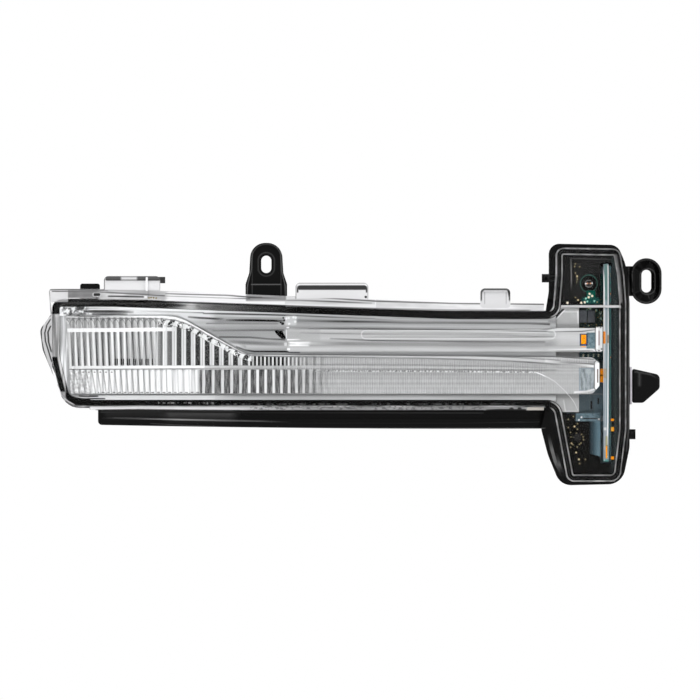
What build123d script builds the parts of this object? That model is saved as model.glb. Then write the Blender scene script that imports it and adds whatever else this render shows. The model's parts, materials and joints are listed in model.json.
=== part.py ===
from build123d import *
import os

# A side repeater lamp, seen from the front: X runs to the right, Z up, and the viewer stands on the -Y side.
# The origin is the middle of the screw slot of the top ear, on the rear seat of that ear.
# The lamp is bowed in plan. A depth is always measured square to the bowed front of the lens.

# Bow of the lamp in plan
bow_radius = 520.0
bow_middle_x = 40.0
lens_stands_out = 22.0
bow_centre_y = bow_radius - lens_stands_out
reach = 60.0
past = 10.0
long_bend = 90.0
side_bend = 20.0

# Front outline of the lens: the long bar
bar_left = -80.3
bar_top = -13.1
bar_fall = 4.6
bar_fall_start = 23.0
bar_fall_end = 150.0
bar_bottom = -53.6
end_lean = 4.5
end_lean_height = 18.8
bar_corner = 3.6
end_corner = 7.5

# Front outline of the lens: the upright head
head_left = 108.6
head_right = 134.9
head_top = 6.2
head_bottom = -81.4
head_waist = 1.1
head_shoulder_drop = 10.2
head_shoulder_lean = 2.5
head_shoulder_fall = 0.4
head_shoulder_bulge = 0.8
head_foot_rise = 19.4
head_foot_lean = 2.3
head_foot_waist = 0.8
head_toe = 4.4
head_corner = 3.0
head_foot_corner = 4.0
inner_corner = 2.4
foot_inner_corner = 3.2

# Walls of the lens and of the black housing
lens_wall = 2.2
rim_wall = 2.4
rim_depth = 9.0
bead_thickness = 0.8
shell_wall = 2.0
trough_depth = 16.0
head_rear_y = 7.0
border_depth = 4.5
border_width = 2.7
gap = 0.3
wall_overlap = 1.0

# Black box round the head, seen from the front
box_rise = 1.6
box_drop = 1.5
box_corner = 4.0
box_shoulder_lean = 4.5
box_shoulder_fall = 0.5
box_shoulder_bulge = 1.2
box_shoulder_drop = 6.8
box_shoulder_corner = 4.4
box_foot_lean = 2.8
box_foot_lift = 0.5
box_foot_corner = 6.5
box_toe_corner = 6.0
box_waist = 1.2
box_waist_z = -10.2
box_foot_z = -68.6
box_side_bend = 9.0

seat_depth = rim_depth + bead_thickness
trough_back = trough_depth + shell_wall
head_floor_y = head_rear_y - shell_wall

# Clear flange of the lens with its three tabs
flange_front = 7.0
flange_rise = 3.9
flange_narrowing = 0.6
flange_end_narrowing = 0.9
flange_lip = 1.1
flange_left = -81.6
flange_right = head_left - border_width - 1.8
flange_corner = 1.0
flange_foot_lean = 1.4
flange_foot_corner = 9.5
bulge_out = 3.6
bulge_top = -19.0
bulge_bottom = -32.0
bulge_foot_bend = 7.0
bulge_lean = 1.0
bulge_height = 7.5
bulge_bend = 3.5
bulge_root = 0.6
bulge_root_bend = 1.5
bulge_wall = 0.9
bulge_reach = 8.0
tab_thickness = 2.0
tab_bead = 1.1
tab_bead_stands = 0.8
tab_corner = 1.7
tab_overlap = 1.0
lens_tabs = {
    "long": (-50.35, 21.1, -4.4),
    "middle": (24.6, 27.3, -6.9),
    "short": (85.9, 11.2, -9.0),
}
lens_stay_x = -44.9
lens_stay_width = 0.9
tab_nose_length = 1.9
tab_nose_height = 2.4
tab_nose_drop = 0.3

# Step rib inside the head of the lens, and the upright rib beside it
step_z = -15.7
step_height = 1.1
step_depth = 0.9

# Screw ears
ear_thickness = 3.0
ear_radius = 5.75
ear_rim = 1.0
ear_rim_height = 0.7
slot_width = 3.8
slot_length = 6.5
top_ear_rise = 2.3
top_ear_neck = 6.4
top_ear_foot = 7.8
top_ear_neck_z = -3.2
top_ear_foot_z = -7.4
ear_bend = 4.0
ear_overlap = 3.0
ear_foot_front = 8.0
side_ear_x = 142.5
side_ear_z = -6.3
side_slot_width = 3.6
side_slot_length = 8.5
side_ear_height = 17.2
side_ear_neck = 11.2

# Lower rail of the housing
rail_left = -63.1
rail_height = 7.0
rail_height_left = 5.6
rail_front = 9.2
rail_step = 3.2
rail_step_depth = 1.6
rail_thickness = 5.0
rail_overlap = 1.2
rail_edge_drop = 1.0
rail_corner = 1.5
wing_left = 103.0
wing_corner = 4.0
wing_overlap = 2.0
wing_toe = 110.3
wing_knee_x = 105.6
wing_knee_z = -71.5

# Small features on the edge of the housing
hook_x = -66.1
hook_width = 7.4
hook_top = -7.2
hook_depth = 3.0
hook_corner = 0.9
left_nub_z = -5.2
left_nub_radius = 1.6
left_nub_length = 2.6
right_nub_z = -63.7
right_nub_radius = 1.9
right_nub_length = 2.2
nub_y = -1.5
peg_z = -45.5
peg_height = 12.9
peg_length = 10.4
peg_depth = 11.0
peg_tip = 7.0
peg_tip_top = 4.1
peg_tip_bottom = 1.0
peg_tip_corner = 2.0
peg_slant = 6.2
peg_round = 0.8
peg_foot_inset = 1.5
peg_foot_corner = 1.5
peg_y = 0.0
pad_thickness = 0.9
pad_margin = 0.6
pad_corner = 2.0
pad_clear = 0.1

# Ribs on the rear of the trough
rear_rib_pitch = 24.0
rear_rib_width = 1.4
rear_rib_height = 1.2
rear_rib_count = 7
rear_rib_inset = 3.0
rear_rib_top_inset = 1.0

# Silver reflector of the bar
panel_front = 6.0
panel_wall = 1.5
panel_back = 11.0
reflector_clear = 0.4
groove_width = 0.6
groove_depth = 0.5
groove_z = (-19.2, -21.1)
channel_z = (-28.4, -29.9)
ledge_height = 2.2
ledge_front = 7.4
window_clear = 0.5
mark_x = 4.4
mark_z = -26.2
mark_length = 3.2
mark_width = 0.7
mark_pitch = 1.6
mark_turn = -48.0
panel_overlap = 3.0

# Lower light guide: tall at the left, with an S-shaped shoulder
guide_left = -75.0
guide_tall_top = -19.3
guide_low_top = -33.9
guide_bottom = -48.6
guide_lean = 1.7
shoulder_start = -33.3
shoulder_end = -7.3
shoulder_radius = 14.0
guide_right = 124.9
guide_end_height = 8.6
guide_end_taper = 2.6
guide_end_drop = 1.0
guide_end_bend = 2.0
guide_corner = 0.6
guide_front = 4.0
guide_thickness = 4.0
flute_height = 0.8
flute_share = 0.6
flute_inset = 0.4
tall_flute_pitch = 2.2
tall_flutes_end = -38.0
wide_flute_pitch = 3.5
wide_flutes_end = -8.0
low_flute_pitch = 2.9
low_flutes_end = 22.0
band_top = -37.9
band_height = 1.5
upper_band_top = -23.9
backing_thickness = 0.8
backing_inset = 0.3
backing_end_clear = 0.5

# Upper light guide
slim_left = 7.8
slim_right = 126.1
slim_top = -23.9
slim_height = 8.9
slim_front = 3.6
slim_thickness = 2.1
slim_corner = 1.0
inlet_length = 2.4
inlet_margin = 0.5
inlet_foot = 0.3
inlet_back = 9.0
oval_left = 35.5
oval_right = 106.0
oval_top = -24.4
oval_height = 3.2
oval_line = 0.35
oval_line_depth = 0.3

# Side light guide and the LED board behind it
side_guide_left = 126.4
side_guide_width = 2.0
side_guide_front = 3.2
side_guide_thickness = 2.0
side_guide_top = 0.2
side_guide_bottom = -74.0
board_thickness = 1.6
led_board_left = 127.6
led_board_front = 5.5
led_board_top = -0.5
led_board_bottom = -73.6

# Carrier plate, driver board, guide holder and mask of the head
carrier_front = 12.0
carrier_thickness = 1.2
carrier_left = 112.6
carrier_top = -1.0
carrier_bottom = -75.0
carrier_lip = 1.0
carrier_lip_front = 9.5
driver_left = 117.7
driver_right = 126.6
driver_top = -3.6
driver_bottom = -36.0
holder_front = 9.4
holder_right = 117.3
holder_bottom = -55.5
mask_front = 8.0
mask_thickness = 1.2
window_top = -16.0
window_bottom = -55.9
mask_slot_left = 125.3
mask_slot_margin = 1.0
lower_plate_left = 121.4
lower_plate_top = -58.7
lower_plate_bottom = -72.0

# LED packages and the other parts on the boards
led_depth = 2.6
led_set_back = 0.2
upper_led_z = -27.5
upper_led_height = 4.2
lower_led_z = (-40.3, -43.1)
lower_led_height = 2.3
front_led_x = 119.0
front_led_z = -28.2
front_led_width = 2.0
front_led_height = 3.5
front_led_thickness = 1.0
side_leds = {
    "side_led_1": (-58.3, 0.9),
    "side_led_2": (-61.8, 1.6),
    "side_led_3": (-72.6, 1.2),
}
side_led_thickness = 1.2
tail_led_z = -70.2
tail_led_height = 4.0
chip_size = 2.7
chip_height = 4.6
chip_thickness = 0.8
chip_z = -19.6
chip_x = (118.9, 121.9)
passive_width = 0.6
passive_height = 1.1
passive_thickness = 0.5
passive_rows = (
    (119.7, -12.4, 1.7, 0.0, 4),
    (120.5, -14.6, 1.7, 0.0, 3),
    (125.4, -18.2, 0.0, -2.2, 2),
    (118.9, -34.2, 1.9, 0.0, 4),
)

# Screws, connector socket, terminals and breather
screw_places = ((120.9, -7.3), (116.6, -64.9))
screw_shank = 1.1
screw_head = 1.5
screw_head_height = 0.9
boss_radius = 2.85
boss_ring = 0.5
boss_stands = 0.5
screw_seat_sink = 0.1
bore_clear = 0.1
hole_clear = 0.2
post_radius = 2.6
screw_tip_y = 4.0
socket_x = 121.5
socket_z = -38.0
socket_width = 14.0
socket_height = 19.0
socket_wall = 1.4
socket_flange = 1.6
socket_flange_thickness = 1.5
socket_length = 11.0
socket_floor = 1.6
socket_throat = 0.5
socket_foot_corner = 2.0
socket_corner = 1.5
socket_inner_corner = 0.6
seal_thickness = 0.8
seal_width = 1.6
seal_corner = 1.8
seal_inner_corner = 0.9
latch_width = 4.0
latch_height = 1.0
latch_length = 3.0
terminal_pitch = 4.5
terminal_width = 0.8
terminal_count = 3
terminal_end_gap = 3.0
terminal_inside = 6.4
terminal_hole_margin = 0.6
breather_x = 121.5
breather_z = -70.0
breather_radius = 4.0
breather_height = 1.8
breather_hole = 0.8
edge_round = 0.4


def lens_outline():
    """Front outline of the lens as (x, z, corner radius), clockwise from the top left corner of the bar."""
    bar_right_top = bar_top - bar_fall
    return [
        (bar_left, bar_top, bar_corner),
        (bar_left + bar_fall_start, bar_top, long_bend),
        (bar_left + bar_fall_end, bar_right_top, long_bend),
        (head_left - head_waist, bar_right_top, inner_corner),
        (head_left, head_top - head_shoulder_drop, side_bend),
        (head_left, head_top, head_corner),
        (head_right - head_shoulder_lean, head_top - head_shoulder_fall, head_corner),
        (head_right - head_shoulder_bulge, head_top - head_shoulder_drop, side_bend),
        (head_right, head_top - 2 * head_shoulder_drop, side_bend),
        (head_right, head_bottom + head_foot_rise, side_bend),
        (head_right - head_foot_lean, head_bottom, head_foot_corner),
        (head_left + head_toe, head_bottom, head_corner),
        (head_left - head_foot_waist, bar_bottom, foot_inner_corner),
        (bar_left + end_lean, bar_bottom, end_corner),
        (bar_left, bar_bottom + end_lean_height, side_bend),
    ]


def border_outline():
    """Front outline of the black box of the head, which stands out round the lens."""
    left = head_left - border_width
    right = head_right + border_width / 2
    top = head_top + box_rise
    bottom = head_bottom - box_drop
    return [
        (left, top, box_corner),
        (right - box_shoulder_lean, top - box_shoulder_fall, box_shoulder_corner),
        (right - box_shoulder_bulge, head_top - box_shoulder_drop, side_bend),
        (right, head_top - 2 * head_shoulder_drop, side_bend),
        (right, box_foot_z, box_side_bend),
        (right - box_foot_lean, bottom + box_foot_lift, box_foot_corner),
        (wing_toe, bottom, box_toe_corner),
        (wing_knee_x, wing_knee_z, side_bend),
        (wing_left, bar_bottom - rail_height - rail_edge_drop, wing_corner),
        (wing_left + wing_overlap, bar_bottom, 0),
        (left - box_waist, bar_top - bar_fall, 0),
        (left, box_waist_z, box_side_bend),
    ]


def flange_outline():
    """Outline of the clear flange: a strip over the bar, a thin lip below it and the bulge at the left."""
    top = bar_top + flange_rise
    bottom = bar_bottom - flange_lip
    return [
        (flange_left, top, flange_corner),
        (bar_left + bar_fall_start, top, long_bend),
        (bar_left + bar_fall_end, top - bar_fall - flange_narrowing, long_bend),
        (flange_right, top - bar_fall - flange_end_narrowing, 0),
        (flange_right, bottom, 0),
        (bar_left + end_lean + flange_foot_lean, bottom, flange_foot_corner),
        (bar_left - bulge_out, bulge_bottom, bulge_foot_bend),
        (bar_left - bulge_out - bulge_lean, bulge_bottom + bulge_height, bulge_bend),
        (bar_left - bulge_root, bulge_top, bulge_root_bend),
    ]


def lower_guide_outline():
    """Outline of the lower light guide, with the S-shaped shoulder and a tapered inlet end."""
    end_middle = (guide_low_top + guide_bottom) / 2
    end_taper_x = guide_right - guide_end_taper
    return [
        (guide_left, guide_tall_top, guide_corner),
        (shoulder_start, guide_tall_top, shoulder_radius),
        (shoulder_end, guide_low_top, shoulder_radius),
        (end_taper_x, guide_low_top - guide_end_drop, guide_end_bend),
        (guide_right, end_middle + guide_end_height / 2, guide_corner),
        (guide_right, end_middle - guide_end_height / 2, guide_corner),
        (end_taper_x, guide_bottom, guide_end_bend),
        (guide_left + guide_lean, guide_bottom, guide_corner),
    ]


def face_of(outline, grow=0.0):
    """The flat front view inside an outline, made larger all round by grow (smaller where it is negative)."""
    with BuildSketch(Plane.XZ, mode=Mode.PRIVATE) as view:
        with BuildLine():
            FilletPolyline(*[(x, z) for x, z, _ in outline], radius=[r for _, _, r in outline], close=True)
        make_face()
        if grow:
            offset(amount=grow, kind=Kind.INTERSECTION)
    return view.sketch


def box_face(left, right, bottom, top):
    """The front view of a plain rectangle between two X and two Z values."""
    with BuildSketch(Plane.XZ, mode=Mode.PRIVATE) as view:
        with Locations(((left + right) / 2, (bottom + top) / 2)):
            Rectangle(right - left, top - bottom)
    return view.sketch


def layer(face, front, back):
    """A front view made solid between two depths behind the bowed front of the lens."""
    with BuildPart(mode=Mode.PRIVATE) as slab:
        extrude(face, amount=reach, both=True)
        with BuildSketch(Plane.XY.offset(-2 * reach)):
            with Locations((bow_middle_x, bow_centre_y)):
                Circle(bow_radius - front)
                Circle(bow_radius - back, mode=Mode.SUBTRACT)
        extrude(amount=4 * reach, mode=Mode.INTERSECT)
    return slab.part


def block(face, front, rear_y):
    """A front view made solid from a depth behind the lens front back to a flat plane at rear_y."""
    with BuildPart(mode=Mode.PRIVATE) as slab:
        extrude(face, amount=reach)
        extrude(face, amount=-rear_y)
        with BuildSketch(Plane.XY.offset(-2 * reach)):
            with Locations((bow_middle_x, bow_centre_y)):
                Circle(bow_radius - front)
        extrude(amount=4 * reach, mode=Mode.INTERSECT)
    return slab.part


lens_face = face_of(lens_outline())
inside_face = face_of(lens_outline(), -rim_wall)
rim_face = lens_face - inside_face
bar_side = box_face(bar_left - past, head_left - head_waist, bar_bottom - past, bar_top + past)
head_side = box_face(head_left - head_waist, head_right + past, head_bottom - past, head_top + past)
border_left = head_left - border_width

# Locating peg: its front view crossed with its tapered plan, all edges rounded
box_right = head_right + border_width / 2
peg_start = box_right + pad_thickness
peg_end = peg_start + peg_length
peg_foot_depth = peg_depth - 2 * peg_foot_inset
peg_foot_height = peg_height - 2 * peg_foot_inset
peg_front = face_of(
    [
        (peg_start, peg_z + peg_height / 2, 0),
        (peg_end, peg_z + peg_tip_top, peg_tip_corner),
        (peg_end, peg_z - peg_tip_bottom, peg_tip_corner),
        (peg_end - peg_slant, peg_z - peg_height / 2, peg_tip_corner),
        (peg_start, peg_z - peg_height / 2, 0),
    ]
)
with BuildSketch(Plane.XY, mode=Mode.PRIVATE) as peg_plan:
    with BuildLine():
        Polyline(
            (peg_start, peg_y - peg_depth / 2),
            (peg_end, peg_y - peg_tip / 2),
            (peg_end, peg_y + peg_tip / 2),
            (peg_start, peg_y + peg_depth / 2),
            close=True,
        )
    make_face()
with BuildPart(mode=Mode.PRIVATE) as peg:
    extrude(peg_front, amount=reach, both=True)
    extrude(peg_plan.sketch, amount=2 * reach, both=True, mode=Mode.INTERSECT)
    fillet(peg.edges(), peg_round)

# Black housing: trough of the bar, box of the head, rail, ears, peg, nubs and hook in one moulding
with BuildPart() as rear_housing:
    add(layer(lens_face & bar_side, seat_depth, trough_back))
    bulge_side = box_face(flange_left - past, bar_left + bulge_reach, bar_bottom, bulge_top + wall_overlap)
    bulge_face = face_of(flange_outline(), -bulge_wall) & bulge_side
    add(layer(bulge_face, seat_depth, trough_depth))
    add(block(face_of(border_outline()), border_depth, head_rear_y))
    # lower rail with its step
    rail_right = wing_left + wing_overlap
    rail = face_of(
        [
            (rail_left, bar_bottom + rail_overlap, 0),
            (rail_right, bar_bottom + rail_overlap, 0),
            (rail_right, bar_bottom - rail_height - rail_edge_drop, 0),
            (rail_left, bar_bottom - rail_height_left - rail_edge_drop, rail_corner),
        ]
    )
    step = box_face(
        rail_left - past, rail_right + past, bar_bottom - flange_lip - rail_step, bar_bottom + past
    )
    add(layer(rail - step, rail_front, rail_front + rail_thickness))
    add(layer(rail & step, rail_front + rail_step_depth, rail_front + rail_thickness))
    # rear ribs of the trough
    first_rib = bar_left + rear_rib_pitch / 2
    for number in range(rear_rib_count):
        rib_x = first_rib + number * rear_rib_pitch
        rib_top = bar_top - bar_fall - rear_rib_top_inset
        rib = box_face(rib_x, rib_x + rear_rib_width, bar_bottom + rear_rib_inset, rib_top)
        add(layer(rib, trough_depth, trough_back + rear_rib_height))
    # room for the lens walls in the head, then the inner room of bar and head
    add(layer(face_of(lens_outline(), gap) & head_side, 0, seat_depth), mode=Mode.SUBTRACT)
    flange_room = box_face(
        head_left - past, head_left - head_waist, bar_bottom - flange_lip - gap, bar_top
    )
    add(layer(flange_room, 0, seat_depth), mode=Mode.SUBTRACT)
    add(layer(inside_face & bar_side, 0, trough_depth), mode=Mode.SUBTRACT)
    add(block(inside_face & head_side, 0, head_floor_y), mode=Mode.SUBTRACT)
    # posts under the carrier plate
    for post_x, post_z in screw_places:
        with BuildSketch(Plane.XZ, mode=Mode.PRIVATE) as post:
            with Locations((post_x, post_z)):
                Circle(post_radius)
        add(block(post.sketch, carrier_front + carrier_thickness, head_floor_y + shell_wall / 2))
    # top ear with its foot on the trough
    ear_top_bend = ear_radius - bore_clear
    with BuildSketch(Plane.XZ) as top_ear:
        with BuildLine():
            FilletPolyline(
                (-ear_radius, top_ear_rise + ear_radius),
                (ear_radius, top_ear_rise + ear_radius),
                (top_ear_neck, top_ear_neck_z),
                (top_ear_foot, top_ear_foot_z),
                (top_ear_foot, bar_top - ear_overlap),
                (-top_ear_foot, bar_top - ear_overlap),
                (-top_ear_foot, top_ear_foot_z),
                (-top_ear_neck, top_ear_neck_z),
                radius=[ear_top_bend, ear_top_bend, ear_bend, ear_bend, 0, 0, ear_bend, ear_bend],
                close=True,
            )
        make_face()
    extrude(amount=ear_thickness)
    ear_rim_face = top_ear.sketch - offset(top_ear.sketch, amount=-ear_rim, mode=Mode.PRIVATE)
    extrude(ear_rim_face, amount=ear_thickness + ear_rim_height)
    foot = box_face(-top_ear_foot, top_ear_foot, bar_top - ear_overlap, top_ear_foot_z)
    extrude(foot, amount=ear_foot_front)
    # side ear with its neck on the head
    with BuildSketch(Plane.XZ) as side_ear:
        with Locations((side_ear_x, side_ear_z)):
            SlotOverall(side_ear_height, 2 * ear_radius, rotation=90)
    extrude(amount=ear_thickness)
    side_rim_face = side_ear.sketch - offset(side_ear.sketch, amount=-ear_rim, mode=Mode.PRIVATE)
    extrude(side_rim_face, amount=ear_thickness + ear_rim_height)
    neck = box_face(
        head_right,
        side_ear_x - ear_radius + wing_overlap,
        side_ear_z - side_ear_neck / 2,
        side_ear_z + side_ear_neck / 2,
    )
    extrude(neck, amount=ear_thickness)
    # the two screw slots
    with BuildSketch(Plane.XZ):
        SlotOverall(slot_length, slot_width, rotation=90)
        with Locations((side_ear_x, side_ear_z)):
            SlotOverall(side_slot_length, side_slot_width, rotation=90)
    extrude(amount=reach, both=True, mode=Mode.SUBTRACT)
    # hook on the top left
    hook = face_of(
        [
            (hook_x - hook_width / 2, hook_top, hook_corner),
            (hook_x + hook_width / 2, hook_top, hook_corner),
            (hook_x + hook_width / 2, bar_top - wall_overlap, 0),
            (hook_x - hook_width / 2, bar_top - wall_overlap, 0),
        ]
    )
    add(layer(hook, seat_depth, seat_depth + hook_depth))
    # round nubs on the sides of the head
    with BuildSketch(Plane.YZ.offset(border_left + wall_overlap)):
        with Locations((nub_y, left_nub_z)):
            Circle(left_nub_radius)
    extrude(amount=-left_nub_length - wall_overlap)
    with BuildSketch(Plane.YZ.offset(box_right - wall_overlap)):
        with Locations((nub_y, right_nub_z)):
            Circle(right_nub_radius)
    extrude(amount=right_nub_length + wall_overlap)
    # slim foot of the locating peg, then the peg itself
    with BuildSketch(Plane.YZ.offset(box_right - wall_overlap)):
        with Locations((peg_y, peg_z)):
            RectangleRounded(peg_foot_depth, peg_foot_height, peg_foot_corner)
    extrude(amount=wall_overlap + pad_thickness)
    add(peg.part)
    # holes of the rear wall: connector throat and breather hole, and the screw bores of the posts
    socket_inner_width = socket_width - 2 * socket_wall
    socket_inner_height = socket_height - 2 * socket_wall
    with BuildSketch(Plane.XZ):
        with Locations((socket_x, socket_z)):
            Rectangle(socket_inner_width, socket_inner_height)
        with Locations((breather_x, breather_z)):
            Circle(breather_hole)
    extrude(amount=-reach, mode=Mode.SUBTRACT)
    with BuildSketch(Plane.XZ.offset(-screw_tip_y - gap)):
        with Locations(*screw_places):
            Circle(screw_shank + bore_clear)
    extrude(amount=reach, mode=Mode.SUBTRACT)

# Clear lens: front wall, side walls, flange, tabs and the step rib inside the head
with BuildPart() as outer_lens:
    add(layer(lens_face, 0, rim_depth))
    add(layer(face_of(flange_outline()), flange_front, rim_depth))
    tab_front = flange_front - tab_bead_stands
    for tab_x, tab_width, tab_top in lens_tabs.values():
        tab = face_of(
            [
                (tab_x - tab_width / 2, tab_top, tab_corner),
                (tab_x + tab_width / 2, tab_top, tab_corner),
                (tab_x + tab_width / 2, bar_top - bar_fall + tab_overlap, 0),
                (tab_x - tab_width / 2, bar_top - bar_fall + tab_overlap, 0),
            ]
        )
        top_bead = tab & box_face(tab_x - tab_width, tab_x + tab_width, tab_top - tab_bead, tab_top)
        add(layer(tab, flange_front, flange_front + tab_thickness))
        add(layer(top_bead, tab_front, flange_front + tab_thickness))
    long_x, long_width, long_top = lens_tabs["long"]
    nose_left = long_x + long_width / 2 - tab_overlap
    nose_top = long_top - tab_nose_drop
    nose_right = nose_left + tab_overlap + tab_nose_length
    nose = box_face(nose_left, nose_right, nose_top - tab_nose_height, nose_top)
    add(layer(nose, flange_front, flange_front + tab_thickness))
    stay = box_face(lens_stay_x - lens_stay_width / 2, lens_stay_x + lens_stay_width / 2, bar_top, long_top)
    add(layer(stay, tab_front, rim_depth))
    add(layer(inside_face, lens_wall, rim_depth + wall_overlap), mode=Mode.SUBTRACT)
    step_bottom = step_z - step_height / 2
    step_rib = inside_face & box_face(head_left, head_right, step_bottom, step_bottom + step_height)
    add(layer(step_rib, lens_wall / 2, lens_wall + step_depth))

# Black sealant bead that joins lens and housing
with BuildPart() as sealant_bead:
    add(layer(rim_face, rim_depth, seat_depth))

# Silver reflector: raised upper panel with grooves, deep back panel behind the lower guide, and bottom ledge
bar_box = box_face(bar_left - past, head_left, bar_bottom, bar_top)
inner_room = face_of(lens_outline(), -rim_wall - reflector_clear)
bar_room = inner_room & bar_box
guide_window = face_of(lower_guide_outline(), window_clear) & bar_box
ledge_top = guide_bottom - window_clear
guide_room = guide_window + box_face(bar_left - past, guide_left + panel_overlap, ledge_top, guide_tall_top)
ledge_face = bar_room & box_face(bar_left - past, head_left, bar_bottom, ledge_top)
panel_face = bar_room - guide_room - ledge_face
with BuildPart() as bar_reflector:
    add(layer(bar_room, panel_back - panel_wall, panel_back))
    add(layer(panel_face, panel_front, panel_back))
    add(layer(ledge_face, ledge_front, panel_back))
    for line_z in groove_z:
        groove = box_face(shoulder_start, head_left, line_z - groove_width / 2, line_z + groove_width / 2)
        add(layer(groove & panel_face, 0, panel_front + groove_depth), mode=Mode.SUBTRACT)
    channel = box_face(slim_left, head_left, channel_z[1], channel_z[0])
    add(layer(channel & panel_face, 0, panel_front + groove_depth), mode=Mode.SUBTRACT)
    with BuildSketch(Plane.XZ, mode=Mode.PRIVATE) as marks:
        with Locations((mark_x, mark_z), (mark_x + mark_pitch, mark_z)):
            SlotOverall(mark_length, mark_width, rotation=mark_turn)
    add(layer(marks.sketch, 0, panel_back + wall_overlap), mode=Mode.SUBTRACT)


def flute_face(start, end, pitch, bottom, top):
    """The front view of a row of upright flutes between two X values."""
    count = int((end - start) / pitch + 0.5)
    width = pitch * flute_share
    with BuildSketch(Plane.XZ, mode=Mode.PRIVATE) as row:
        with Locations(*[(start + (i + 0.5) * pitch, (bottom + top) / 2) for i in range(count)]):
            Rectangle(width, top - bottom)
    return row.sketch


# Lower light guide with its flutes and the two long bands between them
lower_face = face_of(lower_guide_outline())
flute_area = face_of(lower_guide_outline(), -flute_inset)
with BuildPart() as lower_light_guide:
    add(layer(lower_face, guide_front, guide_front + guide_thickness))
    flutes = (
        flute_face(guide_left + guide_corner, tall_flutes_end, tall_flute_pitch, guide_bottom, guide_tall_top)
        + flute_face(tall_flutes_end, wide_flutes_end, wide_flute_pitch, guide_bottom, guide_tall_top)
        + flute_face(wide_flutes_end, low_flutes_end, low_flute_pitch, guide_bottom, guide_low_top)
        + box_face(guide_left, head_left, band_top - band_height, band_top)
        + box_face(guide_left, tall_flutes_end, upper_band_top - band_height, upper_band_top)
    )
    add(layer(flutes & flute_area, guide_front - flute_height, guide_front))

# White backing strip behind the lower guide
backing_front = guide_front + guide_thickness + gap
backing_face = face_of(lower_guide_outline(), -backing_inset) & box_face(
    guide_left, head_left - backing_end_clear, guide_bottom, guide_tall_top
)
with BuildPart() as guide_backing:
    add(layer(backing_face, backing_front, backing_front + backing_thickness))

# Upper light guide: slim bar with a deeper inlet end and an oval line on its front
slim_bottom = slim_top - slim_height
with BuildPart() as upper_light_guide:
    slim_face = face_of(
        [
            (slim_left, slim_top, slim_corner),
            (slim_right, slim_top, slim_corner),
            (slim_right, slim_bottom, slim_corner),
            (slim_left, slim_bottom, slim_corner),
        ]
    )
    add(layer(slim_face, slim_front, slim_front + slim_thickness))
    inlet = box_face(
        slim_right - inlet_length, slim_right, slim_bottom + inlet_foot, slim_top + inlet_margin
    )
    add(layer(inlet, slim_front, inlet_back))
    oval_middle = ((oval_left + oval_right) / 2, oval_top - oval_height / 2)
    with BuildSketch(Plane.XZ, mode=Mode.PRIVATE) as oval:
        with Locations(oval_middle):
            SlotOverall(oval_right - oval_left, oval_height)
            SlotOverall(
                oval_right - oval_left - 2 * oval_line, oval_height - 2 * oval_line, mode=Mode.SUBTRACT
            )
    add(layer(oval.sketch, 0, slim_front + oval_line_depth), mode=Mode.SUBTRACT)

# Clear side light guide in the head
with BuildPart() as side_light_guide:
    side_guide_right = side_guide_left + side_guide_width
    side_face = box_face(side_guide_left, side_guide_right, side_guide_bottom, side_guide_top)
    add(layer(side_face, side_guide_front, side_guide_front + side_guide_thickness))

# LED board, standing edge on behind the side light guide
led_board_right = led_board_left + board_thickness
with BuildPart() as led_board:
    led_board_face = box_face(led_board_left, led_board_right, led_board_bottom, led_board_top)
    add(layer(led_board_face, led_board_front, carrier_front))

# Carrier plate with the lip that holds the LED board, resting on the two posts
terminal_hole_width = terminal_width + 2 * terminal_hole_margin
carrier_right = led_board_right + gap / 3 + carrier_lip
with BuildPart() as board_carrier:
    carrier_face = box_face(carrier_left, carrier_right, carrier_bottom, carrier_top) & inner_room
    add(layer(carrier_face, carrier_front, carrier_front + carrier_thickness))
    lip_face = box_face(carrier_right - carrier_lip, carrier_right, carrier_bottom, carrier_top)
    add(layer(lip_face, carrier_lip_front, carrier_front))
    for hole_x, hole_z in screw_places:
        with BuildSketch(Plane.XZ):
            with Locations((hole_x, hole_z)):
                Circle(screw_shank + hole_clear)
        extrude(amount=reach, both=True, mode=Mode.SUBTRACT)
    with BuildSketch(Plane.XZ):
        with Locations((socket_x, socket_z)):
            Rectangle(terminal_hole_width, (terminal_count - 1) * terminal_pitch + terminal_hole_width)
    extrude(amount=reach, both=True, mode=Mode.SUBTRACT)

# Raised blue-grey plate on the lower part of the carrier
plate_front = mask_front + mask_thickness + gap
with BuildPart() as lower_plate:
    plate_face = box_face(lower_plate_left, mask_slot_left, lower_plate_bottom, lower_plate_top)
    add(layer(plate_face, plate_front, carrier_front))

# Green driver board on the carrier
driver_front = carrier_front - board_thickness
with BuildPart() as driver_board:
    driver_face = box_face(driver_left, driver_right, driver_bottom, driver_top)
    add(layer(driver_face, driver_front, carrier_front))
    with BuildSketch(Plane.XZ):
        with Locations(screw_places[0]):
            Circle(screw_shank + hole_clear)
    extrude(amount=reach, both=True, mode=Mode.SUBTRACT)

# Light grey holder behind the right ends of the two guides
with BuildPart() as guide_holder:
    holder_face = box_face(head_left + gap, holder_right, holder_bottom, bar_top) & inner_room
    add(layer(holder_face, holder_front, carrier_front - gap))

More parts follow.
